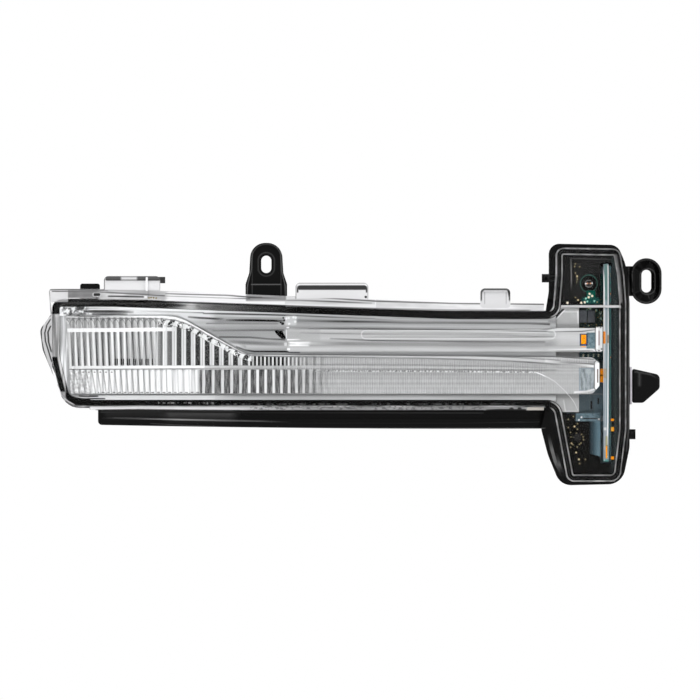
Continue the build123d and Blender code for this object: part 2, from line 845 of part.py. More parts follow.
# Black textured mask of the head with its middle window, the slot for the LED board and the screw bosses
with BuildPart() as head_mask:
    mask_face = inner_room & head_side
    slot_right = led_board_right + gap
    window = box_face(head_left - past, slot_right, window_bottom, window_top)
    board_slot = box_face(
        mask_slot_left, slot_right, led_board_bottom - mask_slot_margin, led_board_top + mask_slot_margin
    )
    add(layer(mask_face - window - board_slot, mask_front, mask_front + mask_thickness))
    for boss_x, boss_z in screw_places:
        with BuildSketch(Plane.XZ, mode=Mode.PRIVATE) as boss:
            with Locations((boss_x, boss_z)):
                Circle(boss_radius)
                Circle(boss_radius - boss_ring, mode=Mode.SUBTRACT)
        add(layer(boss.sketch, mask_front - boss_stands, driver_front - gap))
        with BuildSketch(Plane.XZ):
            with Locations((boss_x, boss_z)):
                Circle(screw_shank + hole_clear)
        extrude(amount=reach, both=True, mode=Mode.SUBTRACT)

# Screws through mask, board and carrier into the posts
screws = []
for number, (screw_x, screw_z) in enumerate(screw_places, 1):
    with BuildSketch(Plane.XZ, mode=Mode.PRIVATE) as shank:
        with Locations((screw_x, screw_z)):
            Circle(screw_shank)
    with BuildSketch(Plane.XZ, mode=Mode.PRIVATE) as head:
        with Locations((screw_x, screw_z)):
            Circle(screw_head)
    with BuildPart() as mask_screw:
        add(block(shank.sketch, mask_front - screw_seat_sink, screw_tip_y))
        add(layer(head.sketch, mask_front - screw_head_height, mask_front))
    mask_screw.part.label = f"mask_screw_{number}"
    screws.append(mask_screw.part)


def led_between(left, right, middle_z, height, front):
    """One LED package that stands on a board, as the space between two X values."""
    led_face = box_face(left, right, middle_z - height / 2, middle_z + height / 2)
    return layer(led_face, front, front + led_depth)


# LED packages of the guides, of the front and of the side guide
led_parts = {}
with BuildPart() as guide_led_upper:
    upper_led_front = led_board_front + 2 * led_set_back
    add(led_between(slim_right + gap, led_board_left, upper_led_z, upper_led_height, upper_led_front))
led_parts["guide_led_upper"] = guide_led_upper.part
for number, led_z in enumerate(lower_led_z, 1):
    with BuildPart() as guide_led_lower:
        lower_led_front = led_board_front + led_set_back
        add(led_between(guide_right + gap, led_board_left, led_z, lower_led_height, lower_led_front))
    led_parts[f"guide_led_lower_{number}"] = guide_led_lower.part
for led_name, (led_z, led_height) in side_leds.items():
    with BuildPart() as side_led:
        side_led_right = led_board_right + side_led_thickness
        side_led_front = led_board_front - led_set_back
        add(led_between(led_board_right, side_led_right, led_z, led_height, side_led_front))
    led_parts[led_name] = side_led.part
with BuildPart() as tail_led:
    tail_led_left = led_board_left - side_led_thickness
    tail_led_front = led_board_front + led_set_back
    add(led_between(tail_led_left, led_board_left, tail_led_z, tail_led_height, tail_led_front))
led_parts["tail_led"] = tail_led.part
with BuildPart() as front_led:
    front_led_face = box_face(
        front_led_x - front_led_width / 2,
        front_led_x + front_led_width / 2,
        front_led_z - front_led_height / 2,
        front_led_z + front_led_height / 2,
    )
    add(layer(front_led_face, driver_front - front_led_thickness, driver_front))
led_parts["front_led"] = front_led.part

# Two dark grey driver chips on the driver board
chips = []
for number, middle_x in enumerate(chip_x, 1):
    with BuildPart() as driver_chip:
        chip_left = middle_x - chip_size / 2
        chip_bottom = chip_z - chip_height / 2
        chip_face = box_face(chip_left, chip_left + chip_size, chip_bottom, chip_bottom + chip_height)
        add(layer(chip_face, driver_front - chip_thickness, driver_front))
    driver_chip.part.label = f"driver_chip_{number}"
    chips.append(driver_chip.part)

# Small resistors and capacitors on the driver board, as one group
passive_places = [
    (first_x + i * step_x, first_z + i * step_down)
    for first_x, first_z, step_x, step_down, count in passive_rows
    for i in range(count)
]
with BuildPart() as board_parts:
    with BuildSketch(Plane.XZ, mode=Mode.PRIVATE) as passives:
        with Locations(*passive_places):
            Rectangle(passive_width, passive_height)
    add(layer(passives.sketch, driver_front - passive_thickness, driver_front))

# Clear damping pad round the foot of the locating peg
with BuildPart() as peg_pad:
    with BuildSketch(Plane.YZ.offset(box_right)):
        with Locations((peg_y, peg_z)):
            RectangleRounded(peg_depth + 2 * pad_margin, peg_height + 2 * pad_margin, pad_corner)
            RectangleRounded(
                peg_foot_depth + 2 * pad_clear,
                peg_foot_height + 2 * pad_clear,
                peg_foot_corner,
                mode=Mode.SUBTRACT,
            )
    extrude(amount=pad_thickness)

# Connector socket: flange on the seal, throat through the rear wall, open shroud, latch nub on top
flange_y = head_rear_y + seal_thickness
shroud_y = flange_y + socket_flange_thickness
with BuildPart() as connector_socket:
    with BuildSketch(Plane.XZ.offset(-flange_y)):
        with Locations((socket_x, socket_z)):
            RectangleRounded(
                socket_width + 2 * socket_flange, socket_height + 2 * socket_flange, socket_foot_corner
            )
    extrude(amount=-socket_flange_thickness)
    with BuildSketch(Plane.XZ.offset(-shroud_y)):
        with Locations((socket_x, socket_z)):
            RectangleRounded(socket_width, socket_height, socket_corner)
    extrude(amount=-socket_length)
    with BuildSketch(Plane.XZ.offset(-flange_y)):
        with Locations((socket_x, socket_z)):
            Rectangle(socket_inner_width - 2 * gap, socket_inner_height - 2 * gap)
    extrude(amount=flange_y - head_floor_y + socket_throat)
    with BuildSketch(Plane.XZ.offset(-flange_y - socket_floor)):
        with Locations((socket_x, socket_z)):
            RectangleRounded(socket_inner_width, socket_inner_height, socket_inner_corner)
    extrude(amount=-reach, mode=Mode.SUBTRACT)
    with BuildSketch(Plane.XZ.offset(-shroud_y - socket_length + latch_length)):
        with Locations((socket_x, socket_z + socket_height / 2 + latch_height / 2)):
            Rectangle(latch_width, latch_height)
    extrude(amount=-latch_length)
    terminal_row = [
        (socket_x, socket_z + (i - (terminal_count - 1) / 2) * terminal_pitch) for i in range(terminal_count)
    ]
    with BuildSketch(Plane.XZ):
        with Locations(*terminal_row):
            Rectangle(terminal_width, terminal_width)
    extrude(amount=reach, both=True, mode=Mode.SUBTRACT)

# Seal ring between the socket flange and the rear wall
seal_outer_width = socket_width + socket_flange
seal_outer_height = socket_height + socket_flange
with BuildPart() as connector_seal:
    with BuildSketch(Plane.XZ.offset(-head_rear_y)):
        with Locations((socket_x, socket_z)):
            RectangleRounded(seal_outer_width, seal_outer_height, seal_corner)
            RectangleRounded(
                seal_outer_width - 2 * seal_width,
                seal_outer_height - 2 * seal_width,
                seal_inner_corner,
                mode=Mode.SUBTRACT,
            )
    extrude(amount=-seal_thickness)

# Terminals, from behind the driver board out into the shroud
terminal_start_y = head_floor_y - terminal_inside
terminal_end_y = shroud_y + socket_length - terminal_end_gap
terminals = []
for number, (pin_x, pin_z) in enumerate(terminal_row, 1):
    with BuildPart() as terminal:
        with BuildSketch(Plane.XZ.offset(-terminal_start_y)):
            with Locations((pin_x, pin_z)):
                Rectangle(terminal_width, terminal_width)
        extrude(amount=terminal_start_y - terminal_end_y)
        chamfer(terminal.faces().sort_by(Axis.Y)[-1].edges(), terminal_width / 4)
    terminal.part.label = f"terminal_{number}"
    terminals.append(terminal.part)

# Breather cap over its hole in the rear wall
with BuildPart() as breather_cap:
    with BuildSketch(Plane.XZ.offset(-head_rear_y)):
        with Locations((breather_x, breather_z)):
            Circle(breather_radius)
    extrude(amount=-breather_height)
    fillet(breather_cap.faces().sort_by(Axis.Y)[-1].edges(), edge_round)

rear_housing.part.label = "rear_housing"
outer_lens.part.label = "outer_lens"
sealant_bead.part.label = "sealant_bead"
bar_reflector.part.label = "bar_reflector"
lower_light_guide.part.label = "lower_light_guide"
guide_backing.part.label = "guide_backing"
upper_light_guide.part.label = "upper_light_guide"
side_light_guide.part.label = "side_light_guide"
led_board.part.label = "led_board"
board_carrier.part.label = "board_carrier"
lower_plate.part.label = "lower_plate"
driver_board.part.label = "driver_board"
guide_holder.part.label = "guide_holder"
head_mask.part.label = "head_mask"
board_parts.part.label = "board_parts"
peg_pad.part.label = "peg_pad"
connector_socket.part.label = "connector_socket"
connector_seal.part.label = "connector_seal"
breather_cap.part.label = "breather_cap"
for led_name, led_part in led_parts.items():
    led_part.label = led_name

single_parts = [
    rear_housing.part,
    outer_lens.part,
    sealant_bead.part,
    bar_reflector.part,
    lower_light_guide.part,
    guide_backing.part,
    upper_light_guide.part,
    side_light_guide.part,
    led_board.part,
    board_carrier.part,
    lower_plate.part,
    driver_board.part,
    guide_holder.part,
    head_mask.part,
    board_parts.part,
    peg_pad.part,
    connector_socket.part,
    connector_seal.part,
    breather_cap.part,
]
os.makedirs("parts", exist_ok=True)
for piece in single_parts + screws + chips + terminals + list(led_parts.values()):
    export_step(piece, f"parts/{piece.label}.step")
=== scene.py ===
# %% [markdown]
# A clear door-mirror lamp: a long bar with light guides in it, and a taller black head with its
# circuit board. The shared frame holds the solid pieces at their real places, in metres. This file
# dresses them: each solid is rounded, laid on the true bow of the lamp and given its finish.

# %% Load the shared frame
import json
import math

import bmesh
import bpy
import numpy as np
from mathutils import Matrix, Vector


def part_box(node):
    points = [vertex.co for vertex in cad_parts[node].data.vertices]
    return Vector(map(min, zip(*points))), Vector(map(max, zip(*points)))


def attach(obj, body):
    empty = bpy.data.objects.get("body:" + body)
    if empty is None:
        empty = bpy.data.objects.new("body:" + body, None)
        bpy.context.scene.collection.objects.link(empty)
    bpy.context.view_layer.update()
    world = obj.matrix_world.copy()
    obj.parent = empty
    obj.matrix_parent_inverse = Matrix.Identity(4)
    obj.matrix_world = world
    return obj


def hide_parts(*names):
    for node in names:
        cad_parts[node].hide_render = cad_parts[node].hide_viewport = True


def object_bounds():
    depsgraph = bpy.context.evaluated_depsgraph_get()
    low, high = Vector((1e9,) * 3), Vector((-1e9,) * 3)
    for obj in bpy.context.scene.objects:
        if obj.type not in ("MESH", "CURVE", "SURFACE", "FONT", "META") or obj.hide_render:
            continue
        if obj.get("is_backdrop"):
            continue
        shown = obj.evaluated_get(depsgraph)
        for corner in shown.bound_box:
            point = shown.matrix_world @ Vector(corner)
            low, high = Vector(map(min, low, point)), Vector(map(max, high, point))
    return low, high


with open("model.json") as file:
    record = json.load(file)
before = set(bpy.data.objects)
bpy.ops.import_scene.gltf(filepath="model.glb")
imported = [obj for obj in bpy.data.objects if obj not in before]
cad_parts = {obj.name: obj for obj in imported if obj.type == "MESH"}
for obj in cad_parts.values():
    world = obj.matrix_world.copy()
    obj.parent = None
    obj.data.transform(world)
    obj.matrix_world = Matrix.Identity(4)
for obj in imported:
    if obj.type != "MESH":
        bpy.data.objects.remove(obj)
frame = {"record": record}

corner_low, corner_high = (np.array(corner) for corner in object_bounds())
print("solid box in mm", (corner_low * 1000).round(1), (corner_high * 1000).round(1))

# %% [markdown]
# The lamp follows a car's door mirror, so its front is a large upright cylinder. A place on it is
# given by its column and row on the front view and by its depth, square to that bowed front. One
# column or row is 0.375 mm wide, and the middle of the top ear's slot is the origin.

# %% Places on the bowed front
BOW_RADIUS, BOW_X, BOW_Y = 0.520, 0.040, 0.498
UNIT = 0.000375
EAR_COLUMN, EAR_ROW = 266.3, 264.35
STRIP, MERGED, NEAR_BOW = 0.006, 2e-6, 0.00015


def across(column):
    """X of a column: the column less the ear's column, times the unit."""
    return (np.asarray(column, float) - EAR_COLUMN) * UNIT


def up(row):
    """Z of a row: the ear's row less the row, times the unit."""
    return (EAR_ROW - np.asarray(row, float)) * UNIT


def bowed(x, depth):
    """Y at a depth: the axis of the cylinder less the far leg of its radius, shortened by the depth."""
    return BOW_Y - np.sqrt((BOW_RADIUS - depth) ** 2 - (x - BOW_X) ** 2)


print("bow at the bar's end", round(float(bowed(-0.08, 0.0)) * 1000, 1), "mm")

# %% [markdown]
# A material is a small sum over the surface. This wrapper turns ordinary Python operators on a
# socket into Math nodes, so that a stripe or a fade reads like its formula.


# %% Sums on sockets
class Reading:
    """A number or colour that changes over the surface. Its operators add Math nodes."""

    def __init__(self, finish, socket):
        self.finish = finish
        self.socket = socket

    def sum(self, operation, *others):
        node = self.finish.node("ShaderNodeMath", {"operation": operation}, self, *others)
        return Reading(self.finish, node.outputs[0])

    def __add__(self, other):
        return self.sum("ADD", other)

    def __sub__(self, other):
        return self.sum("SUBTRACT", other)

    def __mul__(self, other):
        return self.sum("MULTIPLY", other)

    def __truediv__(self, other):
        return self.sum("DIVIDE", other)

    def __radd__(self, other):
        return self.sum("ADD", other)

    def __rmul__(self, other):
        return self.sum("MULTIPLY", other)

    def __rsub__(self, other):
        return self.finish.number(other).sum("SUBTRACT", self)

    def between(self, low, high):
        """0 below low and 1 above high, with a smooth rise between them."""
        settings = {"interpolation_type": "SMOOTHSTEP"}
        node = self.finish.node("ShaderNodeMapRange", settings, self, low, high, 0.0, 1.0)
        return Reading(self.finish, node.outputs[0])

    def stripe(self, middle, width, soft):
        """1 within half a width of the middle, falling to 0 over the soft edge."""
        away = (self - middle).sum("ABSOLUTE")
        return 1 - away.between((width - soft) / 2, (width + soft) / 2)

    def wave(self, start, pitch):
        """A saw that rises from 0 to 1 in each pitch, counted from the start."""
        return ((self - start) / pitch).sum("FRACT")

    def ramp(self, stops):
        """A grey read from a ramp, whose stops are pairs of a place and a grey."""
        node = self.finish.node("ShaderNodeValToRGB", {"stops": stops}, self)
        return Reading(self.finish, node.outputs[0])


class Finish:
    """One material: its Principled shader, and one method that adds any other node."""

    def __init__(self, name, **sockets):
        self.material = bpy.data.materials.new(name)
        self.material.use_nodes = True
        self.tree = self.material.node_tree
        self.shader = self.tree.nodes["Principled BSDF"]
        self.set(**sockets)

    def set(self, **sockets):
        """Sets or links sockets of the Principled shader; an underscore in a name is a space."""
        for name, value in sockets.items():
            self.feed(self.shader.inputs[name.replace("_", " ")], value)
        return self

    def feed(self, socket, value):
        if isinstance(value, Reading):
            self.tree.links.new(value.socket, socket)
        elif socket.type == "RGBA":
            value = (value,) * 3 if np.isscalar(value) else value
            socket.default_value = (*value, 1.0)
        else:
            socket.default_value = value

    def node(self, kind, settings, *inputs, **named):
        """A node of a kind: settings first, then its inputs in order, or by name."""
        made = self.tree.nodes.new(kind)
        for key, value in settings.items():
            if key == "stops":
                ramp = made.color_ramp
                ramp.elements.remove(ramp.elements[1])
                for number, (place, grey) in enumerate(value):
                    stop = ramp.elements.new(place) if number else ramp.elements[0]
                    stop.position = place
                    stop.color = (grey, grey, grey, 1.0) if np.isscalar(grey) else (*grey, 1.0)
            else:
                setattr(made, key, value)
        for number, value in enumerate(inputs):
            self.feed(made.inputs[number], value)
        for key, value in named.items():
            self.feed(made.inputs[key.replace("_", " ")], value)
        return made

    def number(self, value):
        made = self.node("ShaderNodeMath", {"operation": "ADD"}, value, 0.0)
        return Reading(self, made.outputs[0])

    def spread(self, squash):
        """The place on the object with each axis multiplied."""
        coords = self.node("ShaderNodeTexCoord", {})
        settings = {"operation": "MULTIPLY"}
        made = self.node("ShaderNodeVectorMath", settings, Reading(self, coords.outputs["Object"]), squash)
        return Reading(self, made.outputs[0])

    def place(self):
        """X, Y and Z on the object, in metres."""
        apart = self.node("ShaderNodeSeparateXYZ", {}, self.spread((1.0, 1.0, 1.0)))
        return [Reading(self, out) for out in apart.outputs]

    def noise(self, scale, detail=2.0, squash=(1.0, 1.0, 1.0)):
        """Smooth noise from 0 to 1 over the object, squashed along its axes."""
        vector = self.spread(squash)
        made = self.node("ShaderNodeTexNoise", {}, Vector=vector, Scale=scale, Detail=detail)
        return Reading(self, made.outputs[0])

    def specks(self, scale, size):
        """1 in small spots strewn over the object: the near parts of Voronoi cells."""
        vector = self.spread((1.0, 1.0, 1.0))
        made = self.node("ShaderNodeTexVoronoi", {}, Vector=vector, Scale=scale)
        return 1 - Reading(self, made.outputs["Distance"]).between(size * 0.6, size)

    def mixed(self, share, first, second):
        """A colour between two colours."""
        made = self.node("ShaderNodeMix", {"data_type": "RGBA"})
        self.feed(made.inputs[0], share)
        self.feed(made.inputs[6], first)
        self.feed(made.inputs[7], second)
        return Reading(self, made.outputs[2])

    def bump(self, height, strength, distance):
        made = self.node("ShaderNodeBump", {}, Strength=strength, Distance=distance, Height=height)
        return self.set(Normal=Reading(self, made.outputs[0]))


# %% [markdown]
# Clear plastic shows the lamp's surroundings as bright and dark lines whose places belong to that
# one moment, so no simple glass gives them. Such a finish is drawn instead: strokes in columns and
# rows lie over the front view, and where nothing is drawn, clear plastic stays.


# %% Drawn finishes
class Drawing(Finish):
    """A finish drawn over the front view, one stroke over the other, in tones as they are seen."""

    def __init__(self, name, ground, clear=None, tint=(1.0, 1.0, 1.0), **sockets):
        super().__init__(name, **sockets)
        x, _, z = self.place()
        self.column = x / UNIT + EAR_COLUMN
        self.row = EAR_ROW - z / UNIT
        self.colour = self.mixed(0.0, ground, ground)
        self.clear = clear
        self.tint = tint
        self.shown = self.number(0.0 if clear else 1.0)

    def cover(self, mask, colour, shows=1.0):
        """Lays a colour where the mask is 1, solid where it shows and clear where it doesn't."""
        self.colour = self.mixed(mask, self.colour, colour)
        if self.clear:
            self.shown = self.shown + mask * (shows - self.shown)
        return self

    def within(self, columns=None, rows=None, soft=1.0):
        """1 inside a span of columns and a span of rows."""
        mask = self.number(1.0)
        for reading, span in ((self.column, columns), (self.row, rows)):
            if span:
                mask = mask * reading.stripe(sum(span) / 2, span[1] - span[0], soft)
        return mask

    def patch(self, colour, columns, rows=None, soft=1.0, strength=1.0):
        return self.cover(self.within(columns, rows, soft) * strength, colour)

    def box(self, columns, rows, radius):
        """Distance in front-view units outside a box with round corners, less than 0 inside it."""
        spans = ((self.column, columns), (self.row, rows))
        past = [
            (reading - (low + high) / 2).sum("ABSOLUTE") - ((high - low) / 2 - radius)
            for reading, (low, high) in spans
        ]
        outside = [side.sum("MAXIMUM", 0.0) for side in past]
        corner = (outside[0] * outside[0] + outside[1] * outside[1]).sum("SQRT")
        return corner + past[0].sum("MAXIMUM", past[1]).sum("MINIMUM", 0.0) - radius

    def slab(self, colour, columns, rows, radius, soft=1.0):
        return self.cover(1 - self.box(columns, rows, radius).between(-soft / 2, soft / 2), colour)

    def ring(self, colour, columns, rows, radius, width=1.2, strength=1.0):
        return self.cover(self.box(columns, rows, radius).stripe(0.0, width, 1.0) * strength, colour)

    def curve(self, along, points):
        """Three readings that run through points of a place along and up to three values."""
        first, last = points[0][0], points[-1][0]
        stops = []
        for place, *values in points:
            values = tuple(value / 1000 for value in values) + (0.0,) * (3 - len(values))
            stops.append(((place - first) / (last - first), values))
        read = self.node("ShaderNodeValToRGB", {"stops": stops}, (along - first) / (last - first))
        apart = self.node("ShaderNodeSeparateColor", {}, Reading(self, read.outputs[0]))
        return [Reading(self, out) * 1000 for out in apart.outputs]

    def trace(self, width, *points, soft=1.0, upright=False, ends=2.0, strength=1.0):
        """A line of a width through points of column, row and tone, or row, column and tone upright."""
        along, beside = (self.row, self.column) if upright else (self.column, self.row)
        path, tone, _ = self.curve(along, points)
        first, last = points[0][0], points[-1][0]
        mask = (beside - path).stripe(0.0, width, soft)
        mask = mask * along.stripe((first + last) / 2, last - first, ends)
        return self.cover(mask * strength, tone)

    def traces(self, lines, **settings):
        """All lines of a table of names, widths and points."""
        for width, points in lines.values():
            self.trace(width, *points, **settings)
        return self

    def dots(self, colour, radius, *places):
        """Small spots with rough edges at places of column and row."""
        nearest = self.number(10000.0)
        for column, row in places:
            aside, above = self.column - column, self.row - row
            nearest = nearest.sum("MINIMUM", aside * aside + above * above)
        away = nearest.sum("SQRT") + (self.noise(2500.0) - 0.5) * radius
        return self.cover(1 - away.between(radius * 0.6, radius * 1.3), colour)

    def done(self):
        """Turns the tones as seen into the shader's own and joins the clear plastic."""
        seen = self.node("ShaderNodeGamma", {}, self.colour, 2.2)
        self.set(Base_Color=self.tinted(Reading(self, seen.outputs[0])))
        if self.clear:
            glass = self.tree.nodes.new("ShaderNodeBsdfPrincipled")
            for name, value in self.clear.items():
                self.feed(glass.inputs[name.replace("_", " ")], value)
            both = self.node("ShaderNodeMixShader", {}, self.shown)
            self.tree.links.new(glass.outputs[0], both.inputs[1])
            self.tree.links.new(self.shader.outputs[0], both.inputs[2])
            target = self.tree.nodes["Material Output"].inputs["Surface"]
            self.tree.links.new(both.outputs[0], target)
        return self

    def tinted(self, colour):
        made = self.node("ShaderNodeMix", {"data_type": "RGBA", "blend_type": "MULTIPLY"})
        self.feed(made.inputs[0], 1.0)
        self.feed(made.inputs[6], colour)
        self.feed(made.inputs[7], self.tint)
        return Reading(self, made.outputs[2])


# %% [markdown]
# The solids arrive as loose triangles. A copy is merged, cut into upright strips and pushed back
# onto the true cylinders, so that its bowed faces reflect smoothly. Then its edges are rounded.


# %% A smooth copy of a solid
def merged_copy(node, name, strip=0.0, depths=()):
    """A node's solid merged, cut in strips and laid on the bow at the depths; it replaces the solid."""
    mesh = bpy.data.objects[node].data.copy()
    mesh.name = name
    shape = bmesh.new()
    shape.from_mesh(mesh)
    bmesh.ops.remove_doubles(shape, verts=shape.verts, dist=MERGED)
    if not strip:
        flat = math.radians(0.3)
        bmesh.ops.dissolve_limit(shape, angle_limit=flat, verts=shape.verts, edges=shape.edges)
    else:
        low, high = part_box(node)
        for x in np.arange(low[0] + strip, high[0], strip):
            parts = shape.verts[:] + shape.edges[:] + shape.faces[:]
            bmesh.ops.bisect_plane(shape, geom=parts, plane_co=(x, 0, 0), plane_no=(1, 0, 0), dist=MERGED)
    shape.to_mesh(mesh)
    shape.free()
    if len(depths):
        place = read(mesh.vertices, "co", 3)
        depth = BOW_RADIUS - np.hypot(place[:, 0] - BOW_X, place[:, 1] - BOW_Y)
        wanted = np.array(depths)[np.abs(depth[:, None] - np.array(depths)).argmin(1)]
        near = np.abs(depth - wanted) < NEAR_BOW
        place[near, 1] = bowed(place[near, 0], wanted[near])
        mesh.vertices.foreach_set("co", place.ravel())
        print(name, "vertices laid on the bow:", int(near.sum()), "of", len(near))
    made = bpy.data.objects.new(name, mesh)
    bpy.context.scene.collection.objects.link(made)
    mesh.materials.clear()
    mesh.shade_smooth()
    mesh.set_sharp_from_angle(angle=math.radians(30))
    if strip:
        bow_normals(mesh)
    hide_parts(node)
    return made


def read(items, key, width):
    """An array of one property of all items, with a row for each."""
    values = np.empty(len(items) * width)
    items.foreach_get(key, values)
    return values.reshape(-1, width)


def bow_normals(mesh):
    """Turns the corners of each bowed face straight away from the cylinder's axis."""
    axis = np.array([BOW_X, BOW_Y])
    middle, turned = read(mesh.polygons, "center", 3)[:, :2] - axis, read(mesh.polygons, "normal", 3)
    along = (middle * turned[:, :2]).sum(1) / np.hypot(*middle.T)
    owner = np.repeat(np.arange(len(along)), read(mesh.polygons, "loop_total", 1).astype(int)[:, 0])
    corner = read(mesh.vertices, "co", 3)[read(mesh.loops, "vertex_index", 1).astype(int)[:, 0], :2] - axis
    normals = np.zeros((len(owner), 3))
    bent = np.abs(along[owner]) > 0.99
    normals[:, :2] = corner / np.hypot(*corner.T)[:, None] * np.sign(along[owner])[:, None] * bent[:, None]
    mesh.normals_split_custom_set(normals.tolist())


def rounded(piece, width, segments=2, angle=35):
    """Rounds the edges of a piece that turn by more than the angle."""
    bevel = piece.modifiers.new("edges", "BEVEL")
    bevel.width = width
    bevel.segments = segments
    bevel.limit_method = "ANGLE"
    bevel.angle_limit = math.radians(angle)
    bevel.use_clamp_overlap = True
    bevel.harden_normals = True
    return piece


def finished(piece, *finishes):
    """Gives a piece its finishes and lets it ride on the lamp's one body."""
    for made in finishes:
        piece.data.materials.append(made.material)
    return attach(piece, "root")


# %% [markdown]
# A rim is a profile swept round an outline. The outline is a list of corners with radii, as a
# draughtsman gives it; the profile is a list of pairs, how far in from the outline and how deep.


# %% Swept rims
def rounded_outline(corners, steps=8):
    """Points round an outline of (column, row, radius): straight runs joined by arcs that touch both."""
    points = []
    places = np.array([corner[:2] for corner in corners], float)
    for number, (column, row, radius) in enumerate(corners):
        here = places[number]
        before = places[number - 1] - here
        after = places[(number + 1) % len(corners)] - here
        before /= np.hypot(*before)
        after /= np.hypot(*after)
        half = math.acos(float(np.clip(before @ after, -1, 1))) / 2
        reach = radius / math.tan(half)
        middle = here + (before + after) / np.hypot(*(before + after)) * radius / math.sin(half)
        start, end = here + before * reach - middle, here + after * reach - middle
        share = np.linspace(0, 1, steps)[:, None]
        turn = math.pi - 2 * half
        arc = (np.sin((1 - share) * turn) * start + np.sin(share * turn) * end) / math.sin(turn)
        points.append(middle + arc)
    return np.concatenate(points)


def divided(points, longest):
    """The closed outline with each run cut so that no step is longer than the longest."""
    following = np.roll(points, -1, axis=0)
    counts = np.maximum(1, np.ceil(np.hypot(*(following - points).T) / longest)).astype(int)
    shares = np.concatenate([np.arange(count) / count for count in counts])[:, None]
    return np.repeat(points, counts, axis=0) * (1 - shares) + np.repeat(following, counts, axis=0) * shares


def swept(name, points, profile, closed=True):
    """A profile of (inset, depth in m) carried round points in columns and rows; UV is length and inset."""
    before, after = np.roll(points, 1, axis=0), np.roll(points, -1, axis=0)
    if not closed:
        before[0], after[-1] = points[0], points[-1]
    along = after - before
    along /= np.hypot(*along.T)[:, None]
    inward = np.stack([-along[:, 1], along[:, 0]], 1)
    insets = np.array([inset for inset, _ in profile])
    depths = np.array([depth for _, depth in profile])
    spots = points[:, None, :] + inward[:, None, :] * insets[None, :, None]
    x = across(spots[..., 0])
    place = np.stack([x, bowed(x, depths[None, :] + 0 * x), up(spots[..., 1])], -1).reshape(-1, 3)
    rings, sides = len(points), len(profile)
    ring = np.arange(rings if closed else rings - 1)[:, None]
    side = np.arange(sides)[None, :]
    near, far = ring * sides, (ring + 1) % rings * sides
    step = (side + 1) % sides
    faces = np.stack([near + side, far + side, far + step, near + step], -1).reshape(-1, 4).tolist()
    if not closed:
        faces += [list(range(sides - 1, -1, -1)), list(range((rings - 1) * sides, rings * sides))]
    mesh = bpy.data.meshes.new(name)
    mesh.from_pydata(place.tolist(), [], faces)
    run = np.concatenate([[0], np.cumsum(np.hypot(*(after - points).T))[:-1]])
    flat = np.stack([np.repeat(run, sides), np.tile(insets, rings)], 1)
    corners = np.empty(len(mesh.loops), int)
    mesh.loops.foreach_get("vertex_index", corners)
    mesh.uv_layers.new(name="run").data.foreach_set("uv", (flat[corners] / 1000).ravel())
    shape = bmesh.new()
    shape.from_mesh(mesh)
    bmesh.ops.recalc_face_normals(shape, faces=shape.faces)
    shape.to_mesh(mesh)
    shape.free()
    mesh.shade_smooth()
    mesh.set_sharp_from_angle(angle=math.radians(40))
    made = bpy.data.objects.new(name, mesh)
    bpy.context.scene.collection.objects.link(made)
    return made


# The front outline of the lens: corners as column, row and radius, clockwise on the front view
lens_corners = [
    (52.2, 299.3, 9.6),
    (113.5, 299.3, 240),
    (452.2, 311.5, 240),
    (553.0, 311.5, 6.4),
    (555.9, 275.0, 53),
    (555.9, 247.8, 8),
    (619.4, 248.9, 8),
    (623.9, 275.0, 53),
    (626.0, 302.2, 53),
    (626.0, 429.7, 53),
    (619.9, 481.4, 10.7),
    (567.6, 481.4, 8),
    (553.8, 407.3, 8.5),
    (64.2, 407.3, 20),
    (52.2, 357.2, 53),
]
lens_run = divided(rounded_outline(lens_corners), 6.0)
print("points round the lens", len(lens_run))

# %% [markdown]
# The black mouldings are glossy but stand under one even white light, so their gloss is kept low:
# a strong one would turn them grey. The soft highlights that the photograph shows on the lower
# rail, the ears and the foot of the head are drawn. A fine noise breaks up the mirror look.

# %% Black housing
housing_finish = Drawing("glossy_black_housing", 0.055, Specular_IOR_Level=0.1)
# painted highlights on the lower rail: its lit upper edge, a bright line, a low line and its foot
rail_highlights = {
    "rail, upper edge": (1.6, [
        (100, 412.2, 0.22), (150, 411.5, 0.2), (260, 412.6, 0.12), (400, 412.8, 0.19), (484, 413, 0.2),
    ]),
    "rail, bright line": (1.6, [
        (101, 418.3, 0.1), (115, 418, 0.36), (140, 418.5, 0.42), (180, 419.6, 0.6), (227, 420.6, 0.4),
        (262, 421.2, 0.3), (290, 422.2, 0.08),
    ]),
    "rail, low line": (1.2, [
        (250, 423, 0.06), (330, 423.2, 0.09), (460, 423.2, 0.09), (500, 422.6, 0.12), (540, 422, 0.14),
    ]),
    "rail, foot": (1, [
        (150, 423.4, 0.2), (180, 425.2, 0.3), (227, 427.2, 0.35), (300, 427.8, 0.2), (545, 428.2, 0.3),
    ]),
}
# painted sheen: soft pools of light on the rail's upper step
housing_finish.patch(0.36, (164, 236), (409, 419.2), soft=14, strength=0.9)
housing_finish.patch(0.25, (104, 164), (409, 418), soft=8, strength=0.6)
housing_finish.traces(rail_highlights)
# painted highlights on the wedge, the sides of the head and the top ear's rims
foot_highlights = {
    "wedge, outer": (3.6, [(433, 548.2, 0.05), (450, 552, 0.4), (462, 555.4, 0.36), (476, 562, 0.1)]),
    "wedge, inner": (3, [(452, 556, 0.05), (465, 559.6, 0.33), (474, 562.6, 0.05)]),
    "left side of the head": (1.6, [(258, 549.4, 0.2), (290, 547.6, 0.16), (300, 545.6, 0.3)]),
    "right side of the head": (1.6, [
        (262, 628.6, 0.16), (300, 628.9, 0.27), (430, 628.4, 0.27), (452, 626.4, 0.2),
    ]),
    "ear, left rim": (1.4, [(248, 252.4, 0.3), (270, 251.2, 0.3), (286, 247.4, 0.35), (300, 247, 0.3)]),
    "ear, right rim": (1.4, [(248, 280.4, 0.3), (270, 281.6, 0.3), (286, 285.2, 0.35), (300, 285.6, 0.3)]),
}
housing_finish.traces(foot_highlights, upright=True)
